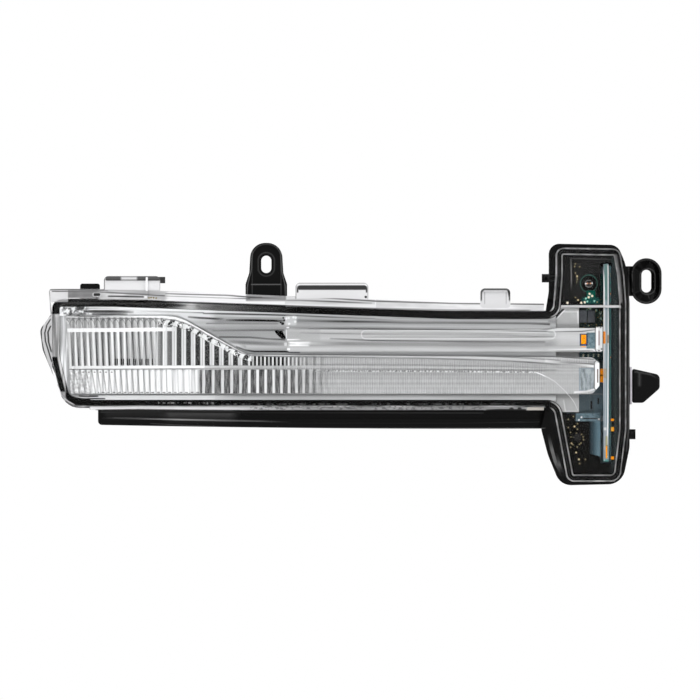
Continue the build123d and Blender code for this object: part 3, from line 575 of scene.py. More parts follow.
# painted highlights round the ears' rims, on the top ear's lower edge and on the peg
housing_finish.ring(0.3, (252.2, 281), (244.2, 330), 13.5, width=1.2, strength=0.7)
housing_finish.ring(0.2, (258.2, 274.4), (252.6, 276), 8, width=1.6)
housing_finish.trace(1.4, (251, 284.4, 0.35), (281, 284.4, 0.35))
housing_finish.ring(0.18, (632.4, 660.4), (259.6, 302.6), 14, width=1.6)
housing_finish.ring(0.24, (640.2, 655), (268.6, 294.4), 7, width=1.4)
housing_finish.ring(0.14, (544, 560), (275.8, 280.6), 2.4, width=1.2)
housing_finish.slab(0.3, (638.5, 640.5), (373, 386), 1, soft=5)
housing_finish.trace(2, (634, 371.6, 0.2), (650, 374.4, 0.22), (657, 378, 0.1))
housing_finish.set(Roughness=housing_finish.noise(60) * 0.12 + 0.18)
housing_finish.bump(housing_finish.noise(900), 0.03, 0.00005)
housing_finish.done()
housing_depths = (0.0045, 0.0092, 0.0098, 0.0108, 0.0142, 0.016, 0.018, 0.0192)
housing = finished(merged_copy("rear_housing", "black_housing", STRIP, housing_depths), housing_finish)
# the lower edge of the rail sags a little between its ends
place = read(housing.data.vertices, "co", 3)
share = (place[:, 0] - across(98)) / (across(545) - across(98))
sags = (share > 0) & (share < 1) & (place[:, 2] < up(423)) & (place[:, 2] > up(430))
place[sags, 2] -= 5.6 * UNIT * (share * (1 - share))[sags]
housing.data.vertices.foreach_set("co", place.ravel())
print("vertices of the rail's lower edge", int(sags.sum()))

# %% [markdown]
# The sealant runs between lens and housing. Through the clear rim of the lens it is the dark band
# that frames the whole lamp. Where lamp light comes through the plastic, a glow and silvery
# highlights are painted onto the band.

# %% Sealant bead
sealant = Drawing("black_sealant", 0.075, Roughness=0.5, Specular_IOR_Level=0.1)
run_node = sealant.node("ShaderNodeUVMap", {"uv_map": "run"})
run_apart = sealant.node("ShaderNodeSeparateXYZ", {}, Reading(sealant, run_node.outputs[0]))
inset = Reading(sealant, run_apart.outputs[1]) * 1000
path = Reading(sealant, run_apart.outputs[0]) * 1000
bar_only = sealant.within((40, 548), (296, 322), 2)
# painted glow along the top of the bar, where lamp light comes through the lens
top_glow, _, _ = sealant.curve(sealant.column, [
    (52, 0.09), (62, 0.19), (110, 0.12), (150, 0.16), (164, 0.24), (174, 0.5), (184, 0.86), (192, 0.97),
    (200, 0.66), (215, 0.5), (240, 0.34), (262, 0.2), (285, 0.09), (548, 0.09),
])
sealant.cover(bar_only, top_glow)
sealant.cover(bar_only * inset.stripe(0.7, 1.4, 1) * 0.75, 0.12)
sealant.cover(bar_only * inset.stripe(3.6, 1.2, 1.2) * sealant.within((60, 200)) * 0.5, 0.42)
sealant.trace(2.4, (150, 305.4, 0.14), (170, 305.4, 0.14), (184, 305.5, 0.3), ends=16)
sealant.slab(0.98, (187, 195), (305.6, 307.2), 0.8, soft=5)
# painted reflection: faint streaks along the band next to the glow
streaked_band_reflection = sealant.noise(500, squash=(0.05, 1, 1)).ramp([(0.35, 0.1), (0.65, 0.8)])
sealant.patch(streaked_band_reflection, (150, 290), (303, 312), 6, 0.18)
# painted light: bright streaks where the lens's left wall is seen edge-on
left_only = sealant.within((40, 66), (314, 412), 2)
left_wall_light_streaks = sealant.noise(700, squash=(1, 1, 0.06)).ramp([(0.35, 0.55), (0.62, 0.97)])
sealant.cover(left_only, left_wall_light_streaks)
sealant.cover(left_only * sealant.within(None, (357, 391.5), 2) * inset.stripe(2.2, 4.8, 1.2), 0.1)
# painted highlights: a silvery line along the band's foot and light dots on it
foot_only = sealant.within((56, 545), (396, 412), 1.5)
silvery_highlight = sealant.noise(420, squash=(0.25, 1, 1)).ramp([(0.35, 0.4), (0.65, 0.95)])
sealant.cover(foot_only * inset.stripe(0.2, 3, 0.8), silvery_highlight)
dots = sealant.noise(900, squash=(1, 1, 0.2)).between(0.45, 0.62)
sealant.cover(foot_only * sealant.within((190, 520)) * inset.stripe(3.2, 1, 0.8) * dots, 0.5)
sealant.cover(foot_only * sealant.within((150, 215), None, 14) * inset.stripe(4.4, 1.6, 1) * dots, 0.7)
# painted highlights along the rim's two edges at the head, and painted light on its wide parts
head_only = sealant.column.between(548, 553)
rim_edge_highlight = sealant.noise(260).ramp([(0.3, 0.6), (0.7, 0.96)])
wide_light = sealant.within((611, 624), (254, 303), 3) * inset.stripe(4.6, 3.6, 1.4)
sealant.cover(wide_light, 0.6)
wide_light = sealant.within((548, 559), (254, 300), 3) * inset.stripe(0.6, 2.6, 1.2)
sealant.cover(wide_light * 0.6, 0.6)
sealant.cover(head_only * inset.stripe(0.3, 1.6, 1), rim_edge_highlight)
sealant.cover(head_only * inset.stripe(6.2, 1.6, 1), rim_edge_highlight)
sealant.cover(head_only * inset.stripe(3.1, 1.2, 1.4) * 0.8, 0.24)
sealant.done()
bead_front, bead_back = 0.00904, 0.0098
bead_profile = [(-0.7, bead_back), (-0.7, bead_front)]
bead_profile += [(float(step), bead_front) for step in np.linspace(0, 6.4, 9)]
bead_profile += [(7.1, bead_front), (7.1, bead_back)]
bead_corners = [(52.5, 299.4, 16.5)] + lens_corners[1:]
bead_run = divided(rounded_outline(bead_corners), 6)
bead = finished(swept("sealant", bead_run, bead_profile), sealant)
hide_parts("sealant_bead")

# %% [markdown]
# The lens is one clear moulding. Its wide front wall is nearly invisible from the front, while its
# flange and tabs bend the light of the room into bright and dark lines. The front wall gets a weak
# refraction; the other walls are clear plastic with those lines drawn on them.

# %% Clear lens
glass = {"Base Color": (0.99, 0.99, 0.995), "Roughness": 0, "IOR": 1.12, "Transmission Weight": 1.0}
lens_window = Finish("clear_lens_front", Base_Color=(1, 1, 1), Roughness=0, IOR=1.001)
lens_window.set(Transmission_Weight=1, Coat_Weight=0.08, Coat_Roughness=0.02)
edge = Drawing("clear_lens_edge", 0.9, clear=glass, tint=(0.985, 0.985, 1), Roughness=0.15)
# painted light: bright and dark lines of the room bent by the flange and the lip
lying_light_lines = {
    "top edge of the flange": (1.3, [
        (50, 289.8, 0.45), (66, 289.2, 0.3), (100, 290.2, 0.4), (170, 291.3, 0.8), (250, 292.4, 0.45),
        (300, 296.4, 0.62), (375, 301.1, 0.35), (420, 302.5, 0.45), (460, 303.4, 0.47),
        (546, 304.3, 0.36),
    ]),
    "line under that edge": (1.3, [
        (165, 293.6, 0.6), (180, 294.1, 0.48), (227, 295.3, 0.52), (250, 297.2, 0.3), (262, 297.4, 0.35),
    ]),
    "second line": (1, [(165, 296, 0.68), (227, 298.1, 0.72), (250, 298.8, 0.35)]),
    "foot of the middle tab": (1.4, [
        (286, 300.3, 0.6), (300, 300.4, 0.58), (340, 301.9, 0.36), (372, 303.2, 0.7),
    ]),
    "upper edge of the band": (1, [
        (286, 306.2, 0.36), (300, 306.4, 0.36), (340, 307.4, 0.44), (375, 308.4, 0.52), (420, 309.3, 0.6),
        (460, 310, 0.54), (530, 310.3, 0.45),
    ]),
    "dark line of the panel": (1.2, [
        (52, 291.4, 0.4), (68, 291.2, 0.4), (100, 292, 0.45), (165, 295.8, 0.4),
    ]),
    "lower lip": (3.2, [
        (90, 408, 1), (140, 407.2, 1), (180, 407.8, 1), (227, 408.2, 0.96), (300, 408.8, 0.7),
        (340, 408.6, 0.64), (400, 408.8, 0.7), (460, 408.4, 0.66), (527, 408.8, 0.62),
    ]),
    "dark line of the lip": (1.3, [
        (96, 410.3, 0.16), (140, 409.9, 0.18), (180, 410.4, 0.2), (250, 410.8, 0.15), (484, 410.6, 0.12),
    ]),
    "light strip at the head": (3.4, [(525, 409.2, 0.7), (546, 409.2, 0.72)]),
}
# painted light: lines of the room bent by the bulge and the left corner
upright_light_lines = {
    "outer line of the bulge": (1.3, [
        (315.5, 50.6, 0.3), (319, 46.5, 0.12), (323, 43.4, 0.1), (331, 41.1, 0.12), (340, 41.4, 0.1),
        (350, 43.4, 0.1), (361, 46.9, 0.1), (371.5, 51.2, 0.2),
    ]),
    "second line of the bulge": (1.3, [
        (319, 50.6, 0.3), (325, 46.9, 0.12), (333, 44.8, 0.16), (341, 45.4, 0.14), (352, 48.8, 0.15),
        (362, 51.8, 0.2),
    ]),
    "third line of the bulge": (1.5, [
        (326, 50.6, 0.1), (332, 48, 0.12), (342, 48.6, 0.15), (352, 51.4, 0.2),
    ]),
    "left edge of the panel": (1.2, [(291, 49.2, 0.55), (302, 50, 0.75), (314, 51.4, 0.5)]),
    "outer line of the corner": (1.2, [
        (371, 51.6, 0.2), (385, 55.2, 0.25), (392.5, 58, 0.35), (400, 63.8, 0.4), (404, 69.2, 0.4),
        (407.5, 77, 0.5),
    ]),
    "light of the corner": (2, [
        (385, 57, 0.8), (392.5, 60, 0.95), (397, 63.2, 0.97), (401, 67.6, 0.97), (404.6, 74, 0.97),
    ]),
}
# painted light: the uneven brightness of the room seen through the flange
refracted_light_mottle = edge.noise(500, squash=(0.15, 1, 1)).ramp([(0.35, 0.74), (0.65, 0.93)])
band_points = [
    (48, 298.4), (113, 298.6), (160, 300.6), (285, 305), (320, 306.3), (400, 309.2), (440, 310.4),
    (548, 310.9),
]
# painted light: the flange above the band is white with the room behind it
band_top, _, _ = edge.curve(edge.column, band_points)
over_band = 1 - (edge.row - band_top).between(-0.5, 0.5)
edge.cover(edge.within((164, 548), None, 8) * over_band, 0.965)
edge.cover(edge.within((376, 548), None) * over_band * 0.6, refracted_light_mottle)
edge.cover(edge.within((285, 375), (296.5, 304.5), 1.5) * over_band * 0.6, refracted_light_mottle)
edge.cover(edge.within((100, 166), None, 8) * edge.within(None, (289, 299.6), 2), refracted_light_mottle * 0.94)
edge.patch(refracted_light_mottle * 0.56, (67, 96), (290, 298), 3, 0.9)
edge.trace(1.4, (104, 292.6, 0.9), (112, 292.8, 0.62), (140, 293.2, 0.6), (160, 293.4, 0.66))
edge.trace(1.4, (108, 296.2, 0.3), (126, 296.4, 0.22), (144, 296.9, 0.34))
# painted glints and a painted highlight on the flange
edge.dots((0.5, 0.45, 0.3), 0.9, (149, 297.9), (151, 297.6), (153.6, 297.8), (156.2, 298.2))
edge.slab(0.98, (144, 147), (296, 298.4), 1)
edge.patch(0.9, (47, 68), (290, 302), 1, 0.8)
edge.slab(0.85, (92.6, 100.8), (292.6, 296.6), 2, soft=2)
edge.slab(0.05, (93.6, 100.2), (293.2, 296), 1.2)
edge.patch(0.82, (38, 52.2), (314, 373), 1, 0.9)
edge.patch(refracted_light_mottle * 0.6, (246, 286), (291, 301), 2, 0.85)
edge.trace(1.6, (247, 293, 0.8), (262, 293.6, 0.7), (286, 294.4, 0.8))
edge.trace(1.6, (248, 297.4, 0.3), (262, 297.8, 0.4), (284, 298.6, 0.55))
edge.traces(lying_light_lines)
edge.traces(upright_light_lines, upright=True)
lip_dots = edge.noise(1500, squash=(0.5, 1, 1)).between(0.5, 0.6)
edge.cover(edge.within((250, 484), (406.2, 409.8), 1) * lip_dots * 0.6, 0.35)

# painted highlight: the white line of the step rib at the head
edge.slab(0.82, (561, 621), (305.2, 308.8), 1)
edge.trace(1, (562, 307.9, 0.5), (590, 308, 0.46), (606, 307.8, 0.6))
edge.trace(2.4, (486, 410.8, 0.06), (500, 410.2, 0.05), (526, 410.4, 0.05))
edge.dots(0.06, 2.2, (511.5, 409.6), (519.5, 409.4))
edge.slab((0.86, 0.84, 0.8), (527, 546), (407.2, 410.4), 0.8)

# the long tab: its light body and its dark and bright edge lines are painted light
above_flange = edge.within(None, (270, 290), 2)
edge.cover((1 - edge.box((104.4, 160), (277, 300), 3).between(-0.5, 0.5)) * above_flange, 0.9)
edge.ring(0.5, (104.2, 160.4), (276.2, 300), 3.2, width=1.3, strength=above_flange)
edge.slab(0.3, (105.5, 163.5), (276.4, 280.6), 1.8, soft=1.4)
edge.slab(0.86, (121, 137), (276.8, 280.2), 1.2, soft=3)
edge.slab(0.97, (145.7, 147.9), (277, 291), 0.8)
edge.slab(0.14, (160.4, 165.6), (276.4, 283.4), 1.4)
edge.trace(1.2, (108, 290.6, 0.7), (145, 291.6, 0.66), (160, 291.6, 0.7))

# the middle tab: its light body and its dark and bright edge lines are painted light
edge.slab(0.9, (296, 368), (283, 298.2), 2.6)
edge.slab(0.16, (298.2, 366.4), (286, 289.8), 1)
above_flange = edge.within(None, (270, 299), 2)
edge.ring(0.62, (295.8, 368.2), (283, 312), 3.4, width=1.2, strength=above_flange)
edge.ring(0.2, (297.6, 366.6), (286, 300), 3, width=1.4, strength=edge.within(None, (284, 292.5), 2))
edge.dots(0.12, 1.2, (365.8, 297))

# the short tab: its light body and its dark and bright edge lines are painted light
edge.slab(0.86, (480, 510.6), (288, 308), 4)
above_flange = edge.within(None, (270, 300.5), 3)
edge.ring(0.3, (480.9, 509.9), (289.2, 318), 4.4, width=2.2, strength=above_flange)
edge.trace(2, (290.5, 508.4, 0.12), (294, 509.2, 0.14), (297.5, 509.6, 0.4), upright=True)
edge.trace(1, (292, 484.6, 0.66), (304, 484.6, 0.72), upright=True)
edge.trace(1, (292, 506.2, 0.66), (304, 506.2, 0.72), upright=True)
edge.done()
lens_depths = (0, 0.0022, 0.0031, 0.0062, 0.007, 0.009)
lens = finished(merged_copy("outer_lens", "clear_lens", STRIP, lens_depths), edge, lens_window)
middles, turned = read(lens.data.polygons, "center", 3), read(lens.data.polygons, "normal", 3)
deep = BOW_RADIUS - np.hypot(middles[:, 0] - BOW_X, middles[:, 1] - BOW_Y)
front_wall = (deep < 0.0024) & (np.abs(turned[:, 1]) > 0.9)
lens.data.polygons.foreach_set("material_index", front_wall.astype(int))
print("faces of the front wall", int(front_wall.sum()))

# %% [markdown]
# The reflector is a metallised panel behind the guides. Its long grooves mirror dark and bright
# parts of the room as long soft lines, which are drawn on it.

# %% Silver reflector
reflector = Drawing("silver_reflector", 0.66, tint=(0.97, 0.985, 1), Metallic=0.85, Roughness=0.3)
# painted reflections: the panel's tone runs in bands along its rows
panel_reflection_bands = [
    (305, 0.82), (309, 0.62), (313, 0.72), (316, 0.78), (319, 0.62), (322, 0.6), (325, 0.74), (329, 0.6),
    (333, 0.64), (336.5, 0.66), (339, 0.7), (342, 0.74), (346, 0.8), (350, 0.68), (354, 0.62), (360, 0.6),
    (392, 0.62), (394, 0.66), (396, 0.6), (397, 0.74), (399.3, 0.82), (401, 0.6), (410, 0.5),
]
reflected_bands, _, _ = reflector.curve(reflector.row, panel_reflection_bands)
reflector.cover(1, reflected_bands)
# painted reflections: a bright glow at the left top and a bright strip along the foot
reflector.patch(0.92, (58, 214), (302, 322), 14)
reflector.cover(reflector.within((92, 225), None, 40) * reflector.within(None, (395.4, 400), 1.2), 0.93)
# painted reflections: long soft streaks
long_reflection_streaks = reflector.noise(380, squash=(0.04, 1, 1)).ramp([(0.3, 0.5), (0.7, 0.85)])
reflector.patch(long_reflection_streaks, (215, 560), (304, 400), 2, 0.22)
# painted reflections of the room in the grooves, as dark and bright lines
groove_reflection_lines = {
    "thin line under the glow": (1.1, [
        (140, 311.4, 0.9), (165, 311.8, 0.74), (190, 312.4, 0.72), (204, 312.8, 0.5),
    ]),
    "bright line under the band": (1.5, [
        (79, 308.2, 0.6), (100, 308.3, 0.78), (124, 308.6, 0.97), (165, 309.6, 1), (205, 311.4, 0.97),
        (250, 312.7, 0.82), (300, 314.4, 0.72), (320, 315.5, 0.8), (345, 316.4, 0.78), (375, 317.5, 0.76),
        (400, 319.6, 0.74), (450, 320.4, 0.74), (548, 321.2, 0.75),
    ]),
    "first groove": (1.2, [
        (203, 313.4, 0.5), (227, 313.9, 0.28), (252, 314.3, 0.24), (284, 315.2, 0.24), (300, 315.7, 0.5),
        (320, 316.6, 0.4), (345, 317.6, 0.5), (375, 318.6, 0.58),
    ]),
    "bright line after it": (1.4, [
        (215, 315.4, 0.8), (250, 316.3, 0.84), (285, 316.9, 0.76), (300, 318, 0.74), (345, 319.1, 0.72),
        (375, 319.8, 0.7),
    ]),
    "second groove": (1.9, [
        (226, 320.1, 0.55), (240, 320.2, 0.24), (252, 320.3, 0.12), (275, 320.8, 0.1), (279, 321, 0.3),
        (286, 320.6, 0.62), (300, 320.6, 0.58), (320, 321.2, 0.48), (345, 321.5, 0.28),
        (375, 321.9, 0.42), (410, 322.9, 0.52), (450, 322.9, 0.5), (490, 323.2, 0.48), (530, 323.5, 0.48),
        (550, 324.3, 0.36),
    ]),
    "second groove, left": (1.8, [
        (188, 317, 0.6), (200, 317.9, 0.34), (214, 318.6, 0.27), (224, 318.9, 0.6),
    ]),
    "light line over the guide": (2, [
        (310, 326.4, 0.7), (375, 325.7, 0.76), (410, 326.3, 0.77), (490, 326.9, 0.75), (550, 327.4, 0.76),
    ]),
    "soft line": (1.4, [(206, 323.4, 0.56), (278, 323.8, 0.56)]),
    "third groove": (1.6, [(212, 330.6, 0.55), (250, 330.2, 0.46), (284, 330.2, 0.4)]),
    "fourth groove": (1.8, [(219, 337, 0.4), (250, 337.4, 0.42), (270, 339, 0.5), (285, 339.6, 0.36)]),
    "bright under it": (2.6, [(226, 341.5, 0.82), (238, 344.5, 0.85), (246, 347, 0.66)]),
    "line over the shoulder": (1.6, [
        (236, 346.6, 0.5), (245, 350, 0.4), (254, 351.5, 0.2), (284, 351.6, 0.14), (300, 352.4, 0.42),
    ]),
    "left loop": (1.6, [(64, 311, 0.2), (68, 306.8, 0.2), (74, 305.6, 0.3), (80, 307.5, 0.45)]),
    "wedge": (2.6, [
        (84, 311.2, 0.55), (92, 311.4, 0.28), (112, 311.5, 0.26), (124, 311.7, 0.45), (134, 312, 0.8),
    ]),
    "wedge below": (2, [(92, 314, 0.5), (104, 314, 0.4), (122, 314, 0.5), (128, 314, 0.8)]),
    "left foot": (3.6, [(67, 396, 0.4), (70, 397, 0.1), (76, 399, 0.08), (82, 400, 0.08), (90, 400.2, 0.12)]),
    "short dark line": (1.2, [(79, 396, 0.14), (88, 396.6, 0.3), (90, 396.2, 0.1), (98, 396.2, 0.16)]),
    "second short line": (1.2, [(87, 398.8, 0.12), (96, 398.6, 0.12), (105, 398.7, 0.25)]),
}
reflector.traces(groove_reflection_lines)
reflector.trace(
    3.4, (226, 341.4, 0.6), (245, 342.6, 0.5), (262, 343.4, 0.52), (286, 344.2, 0.62), soft=3, ends=16,
)
# painted reflections: swirls at the left top and bright streaks at the left end
swirls = reflector.noise(650, detail=3).ramp([(0.42, 0.14), (0.5, 0.5), (0.58, 0.9)])
reflector.patch(swirls, (62, 88), (305.5, 316), 4, 0.75)
left_reflection_streaks = reflector.noise(900, squash=(1, 1, 0.05)).ramp([(0.35, 0.62), (0.62, 0.98)])
reflector.patch(left_reflection_streaks, (50, 67), (314, 398), 2)
reflector.slab(0.84, (285, 296.8), (315.8, 325.2), 2, soft=2.6)
# painted glints, and dark spots and lines of painted reflection
reflector.dots(
    0.98, 1.3, (286.4, 318.4), (288.6, 318), (293.4, 317.4), (295.6, 317.6), (295.2, 321.6),
    (289.2, 323.8),
)
reflector.slab(0.97, (286.4, 289.2), (326.8, 328.4), 0.6)
reflector.dots(0.1, 0.9, (283.3, 317.8), (284.2, 320.4), (280.6, 322.4))
reflector.slab(0.07, (281.2, 284), (322.4, 324.8), 1)
reflector.trace(3.6, (330.4, 276.6, 0.07), (338.6, 283.2, 0.07), upright=True, ends=1)
reflector.trace(2.3, (330.8, 281, 0.12), (338.4, 285, 0.08), upright=True, ends=1)
reflector.trace(1.4, (329.5, 286.4, 0.9), (338.6, 286.6, 0.97), upright=True)
reflector.slab(0.9, (284.2, 287.4), (342.4, 346), 1, soft=1.6)
reflector.bump(reflector.noise(300, squash=(0.05, 1, 1)), 0.12, 0.0002)
reflector.done()
panel_depths = (0.006, 0.0065, 0.0074, 0.0095, 0.011)
finished(merged_copy("bar_reflector", "silver_panel", STRIP, panel_depths), reflector)

# %% [markdown]
# The lower light guide is the bright part of the lamp. It is tall at the left, where upright flutes
# stand between two smooth bands, and its top follows an S down to the low part. Each of the flutes
# is a little cylinder, and the dark line, grey slope and white line that light and shade make on it
# are painted, as are the lit crests and shaded gaps of the ribs. Towards the right the ribs get
# narrower, and at last only a fine mesh is left.

# %% Lower light guide
guide_glass = dict(glass)
guide_glass["IOR"] = 1.05
lower = Drawing("fluted_guide", 0.66, clear=guide_glass, tint=(0.98, 0.99, 1), Roughness=0.25)
lower.set(Specular_IOR_Level=0.15)
lower.shown = lower.number(1)
column, row = lower.column, lower.row
shoulder_points = [
    (60, 316.6), (100, 316.4), (140, 316.3), (160, 316.7), (176, 318.3), (187, 322), (198, 327.5),
    (208.8, 334), (219.6, 339.4), (230.5, 345.4), (241.3, 350.8), (252, 353.5), (268, 354.3),
    (300, 354.8), (340, 355), (375, 355.6), (420, 356.2), (460, 357.2), (500, 358.6), (530, 360.3),
    (560, 362.4),
]
shoulder, _, _ = lower.curve(column, shoulder_points)
under = row - shoulder
sink, _, _ = lower.curve(column, [(300, 0), (340, 0), (420, 0.7), (500, 2.2), (545, 4.2), (600, 5)])
level = row - sink * (1 - row.between(362, 380))
mesh_bands = [
    (355, 0.76), (356, 0.68), (357, 0.58), (358.5, 0.62), (360, 0.65), (362, 0.67), (363.4, 0.66),
    (364.3, 0.52), (365.3, 0.6), (366.4, 0.75), (367.2, 0.72), (368.3, 0.56), (369.2, 0.62),
    (370.4, 0.76), (371.2, 0.78), (372.4, 0.66), (374, 0.6), (376.5, 0.67), (378.4, 0.63), (381, 0.74),
    (383.5, 0.62), (386, 0.74), (388, 0.66), (391, 0.73), (393.6, 0.65), (395.2, 0.56), (396.2, 0.48),
    (397.2, 0.74), (399, 0.8), (402, 0.7),
]
meshed, _, _ = lower.curve(level, mesh_bands)
lower.cover(1, meshed)
threads = lower.noise(2400, squash=(1, 0, 0.1)).ramp([(0.35, 0.42), (0.65, 0.88)])
weave = (column.wave(0, 2.35) - 0.5).sum("ABSOLUTE") * 0.7 + 0.5
lower.patch(threads, (240, 590), (356, 394), 2, 0.16)
lower.patch(weave, (240, 590), (356, 394), 2, 0.22)
dashes = lower.noise(1300, squash=(1, 0, 0.6)).ramp([(0.4, 0.45), (0.6, 1)])
lower.cover((level - 370.8).stripe(0, 1.8, 1) * lower.within((250, 540), None, 8) * 0.7, dashes)

# tall part: smooth ground, two rows of flutes and a row of small arches
tall = lower.within((60, 158), None, 6)
phase = (column - (row - 334) * 0.055).wave(76.5, 6.17)
flute_shading = phase.ramp([
    (0, 0.46), (0.12, 0.44), (0.24, 0.66), (0.5, 0.77), (0.64, 0.9), (0.8, 0.92), (0.93, 0.8), (1, 0.48),
])
own_light = lower.noise(700, squash=(1, 0, 0.02)).ramp([(0.35, 0.88), (0.65, 1.08)])
curls_ground = lower.noise(900, detail=3).ramp([(0.38, 0.35), (0.62, 0.9)])
# painted light and shade on the flutes: a dark line, a grey slope and a white line
lower.cover(tall, 0.74)
lower.cover(tall * lower.within(None, (331, 367)) * column.between(66, 72), flute_shading * own_light)
lower.cover(tall * lower.within((66, 160), (318, 328)), (flute_shading * 0.4 + 0.42) * own_light)
arch = (phase - 0.5) * (phase - 0.5) * 20 + 319.4
lower.cover(tall * lower.within((66, 160), (317, 327)) * (row - arch).stripe(0, 1.3, 1.2) * 0.6, 0.34)
# painted shadows: a pair of black marks between each two flutes, and fainter ones further left
shadow_mark_wave = column.wave(114.4, 6.17)
paired_shadow_marks = shadow_mark_wave.stripe(0.13, 0.19, 0.08) + shadow_mark_wave.stripe(0.46, 0.17, 0.08)
lower.cover(paired_shadow_marks * lower.within((114, 153), (358.8, 365), 0.8), 0.03)
lower.cover(phase.stripe(0.06, 0.2, 0.14) * lower.within((75, 112), (358, 365), 5) * 0.7, 0.25)
lean, _, _ = lower.curve(column, [(60, 0.28), (85, 0.2), (110, 0.12), (160, 0.06), (205, 0.02), (330, 0)])
leaning = (column - (row - 372) * lean).wave(74.6, 5.7)
# painted light and shade on the low flutes
low_flute_shading = leaning.ramp([
    (0, 0.7), (0.1, 0.7), (0.24, 0.93), (0.5, 0.97), (0.58, 0.86), (0.66, 0.97), (0.9, 0.92), (1, 0.72),
])
low_flute_shading = low_flute_shading * own_light.ramp([(0.8, 0.92), (1, 1.03)])
lower.patch(low_flute_shading, (60, 206), (369.6, 394.4))
lower.patch(0.97, (150, 201), (370, 394), 4, 0.5)
lower.patch(curls_ground, (60, 90), (369, 400), 10, 0.35)
lower.cover(leaning.stripe(0.5, 0.5, 0.1) * lower.within((98, 206), (391.9, 393), 0.8) * 0.7, 0.42)
lower.cover(leaning.stripe(0.5, 0.3, 0.1) * lower.within((78, 116), (371.6, 372.8), 0.8) * 0.7, 0.35)

# wide ribs under the shoulder, then the narrow ones: painted highlights on their crests and painted shade in
# their gaps
gap_shade, _, _ = lower.curve(column, [
    (150, 0.6), (166, 0.48), (176, 0.3), (192, 0.21), (245, 0.24), (262, 0.3), (300, 0.52), (325, 0.62),
])
gap_shade_grain = lower.noise(1400, detail=3).ramp([(0.4, 0.7), (0.62, 1.5)])
gap_shade_grain = 1 + (gap_shade_grain - 1) * column.between(172, 204)
rib_zone = lower.within((157, 252), None, 2) * under.between(7.4, 8.6) * (1 - row.between(365, 366))
lower.cover(rib_zone, gap_shade * gap_shade_grain)
rib = (column.wave(160.2, 9.4) - 0.5).sum("ABSOLUTE") * 9.4
lower.cover(rib_zone * (1 - rib.between(1.9, 2.7)), 0.93)
lower.cover(rib_zone * (1 - rib.between(0.2, 0.7)) * 0.5, 0.62)
fine_zone = lower.within((247, 325), None, 3) * under.between(1.8, 2.8) * (1 - row.between(365.2, 366.2))
fine = (column.wave(247.1, 3.96) - 0.5).sum("ABSOLUTE") * 3.96
fade = 1 - column.between(288, 322)
fine_gap_shade, _, _ = lower.curve(column, [
    (247, 0.3), (257, 0.1), (283, 0.07), (289, 0.42), (304, 0.5), (325, 0.6),
])
lower.cover(fine_zone * fade, fine_gap_shade)
lower.cover(fine_zone * (1 - fine.between(0.6, 1.2)) * fade, 0.88)
first_rib, first_pitch, loss = 213.1, 9.45, 0.11
count = (first_pitch - (first_pitch**2 - (column - first_rib) * 4 * loss).sum("SQRT")) / (2 * loss)
local_pitch = first_pitch - count * 2 * loss
low_rib = (count.wave(-0.5, 1) - 0.5).sum("ABSOLUTE") * local_pitch
low_zone = lower.within((199, 350), None, 6) * lower.within(None, (369.6, 393.4), 1.5)
low_fade = 1 - column.between(276, 340)
lower.cover(low_zone * low_fade, threads * 0.62)
lower.cover(low_zone * (1 - low_rib.between(1, 1.9)) * low_fade, 0.9)

# chamfered tops of the ribs between the shoulder and the gaps, with their dark swirls
chamfer = lower.within((158, 252), None, 4) * (1 - under.between(7.6, 8.6)) * under.between(0.4, 1.2)
leant = ((column - (8.2 - under) * 0.5).wave(160.2, 9.4) - 0.5).sum("ABSOLUTE") * 9.4
curls = lower.noise(1100, detail=2).ramp([(0.42, 0.18), (0.5, 0.7), (0.6, 0.95)])
lower.cover(chamfer, curls)
lower.cover(chamfer * (1 - leant.between(1.5, 2.3)), 0.93)
# painted highlights: the bright bands where the guide's faces catch light
guide_lines = {
    "upper bright band": (3.8, [(67, 330.3, 0.93), (120, 330, 0.97), (152, 329.4, 0.99), (176, 329.2, 0.9)]),
    "lower bright band": (2.6, [(68, 367.4, 0.85), (90, 367.2, 0.9), (160, 366.9, 0.99), (205, 366.7, 0.97)]),
    "lower band further on": (2, [(205, 366.9, 0.8), (262, 366.8, 0.66), (330, 366.6, 0.7)]),
    "line below it": (1, [(68, 369.5, 0.5), (120, 369.4, 0.62), (205, 369.2, 0.75), (262, 368.9, 0.6)]),
    "foot of the flutes": (1.2, [
        (74, 394, 0.6), (110, 394.4, 0.45), (150, 394.4, 0.55), (206, 394.2, 0.62), (262, 394.4, 0.62),
        (330, 394.6, 0.64),
    ]),
}
lower.traces(guide_lines)
# painted shadow along the S, then a painted highlight on its edge
lower.trace(5.4, *[(place, height, 0.48) for place, height in shoulder_points], strength=0.7)
lower.trace(2.6, *[(place, height, 0.97 if 101 < place < 290 else 0.77) for place, height in shoulder_points])
lower.trace(1.2, (74, 316, 0.5), (82, 316, 0.35), (92, 316.2, 0.4), (100, 316.6, 0.6))
end_lines = {
    "edge over the mesh": (1.4, [
        (300, 353, 0.42), (375, 353.2, 0.24), (410, 353.6, 0.32), (450, 353.9, 0.28), (490, 354.6, 0.38),
        (530, 355.2, 0.25), (560, 356.6, 0.34), (594, 359.4, 0.5),
    ]),
    "edge under the bright line": (1.2, [
        (375, 357.8, 0.58), (420, 358.3, 0.55), (460, 359.3, 0.5), (500, 360.6, 0.56), (530, 362.3, 0.42),
        (560, 364.4, 0.6), (592, 366, 0.7),
    ]),
    "lower dark line": (1.6, [
        (320, 396.3, 0.5), (420, 396.2, 0.46), (460, 395.4, 0.5), (530, 395.2, 0.5), (555, 394, 0.6),
    ]),
    "upper edge at the end": (2.4, [(545, 360.8, 0.86), (570, 363.2, 0.6), (594, 366.4, 0.9)]),
    "dark edge at the end": (1, [(560, 362, 0.62), (594, 364.2, 0.35)]),
}
lower.traces(end_lines)
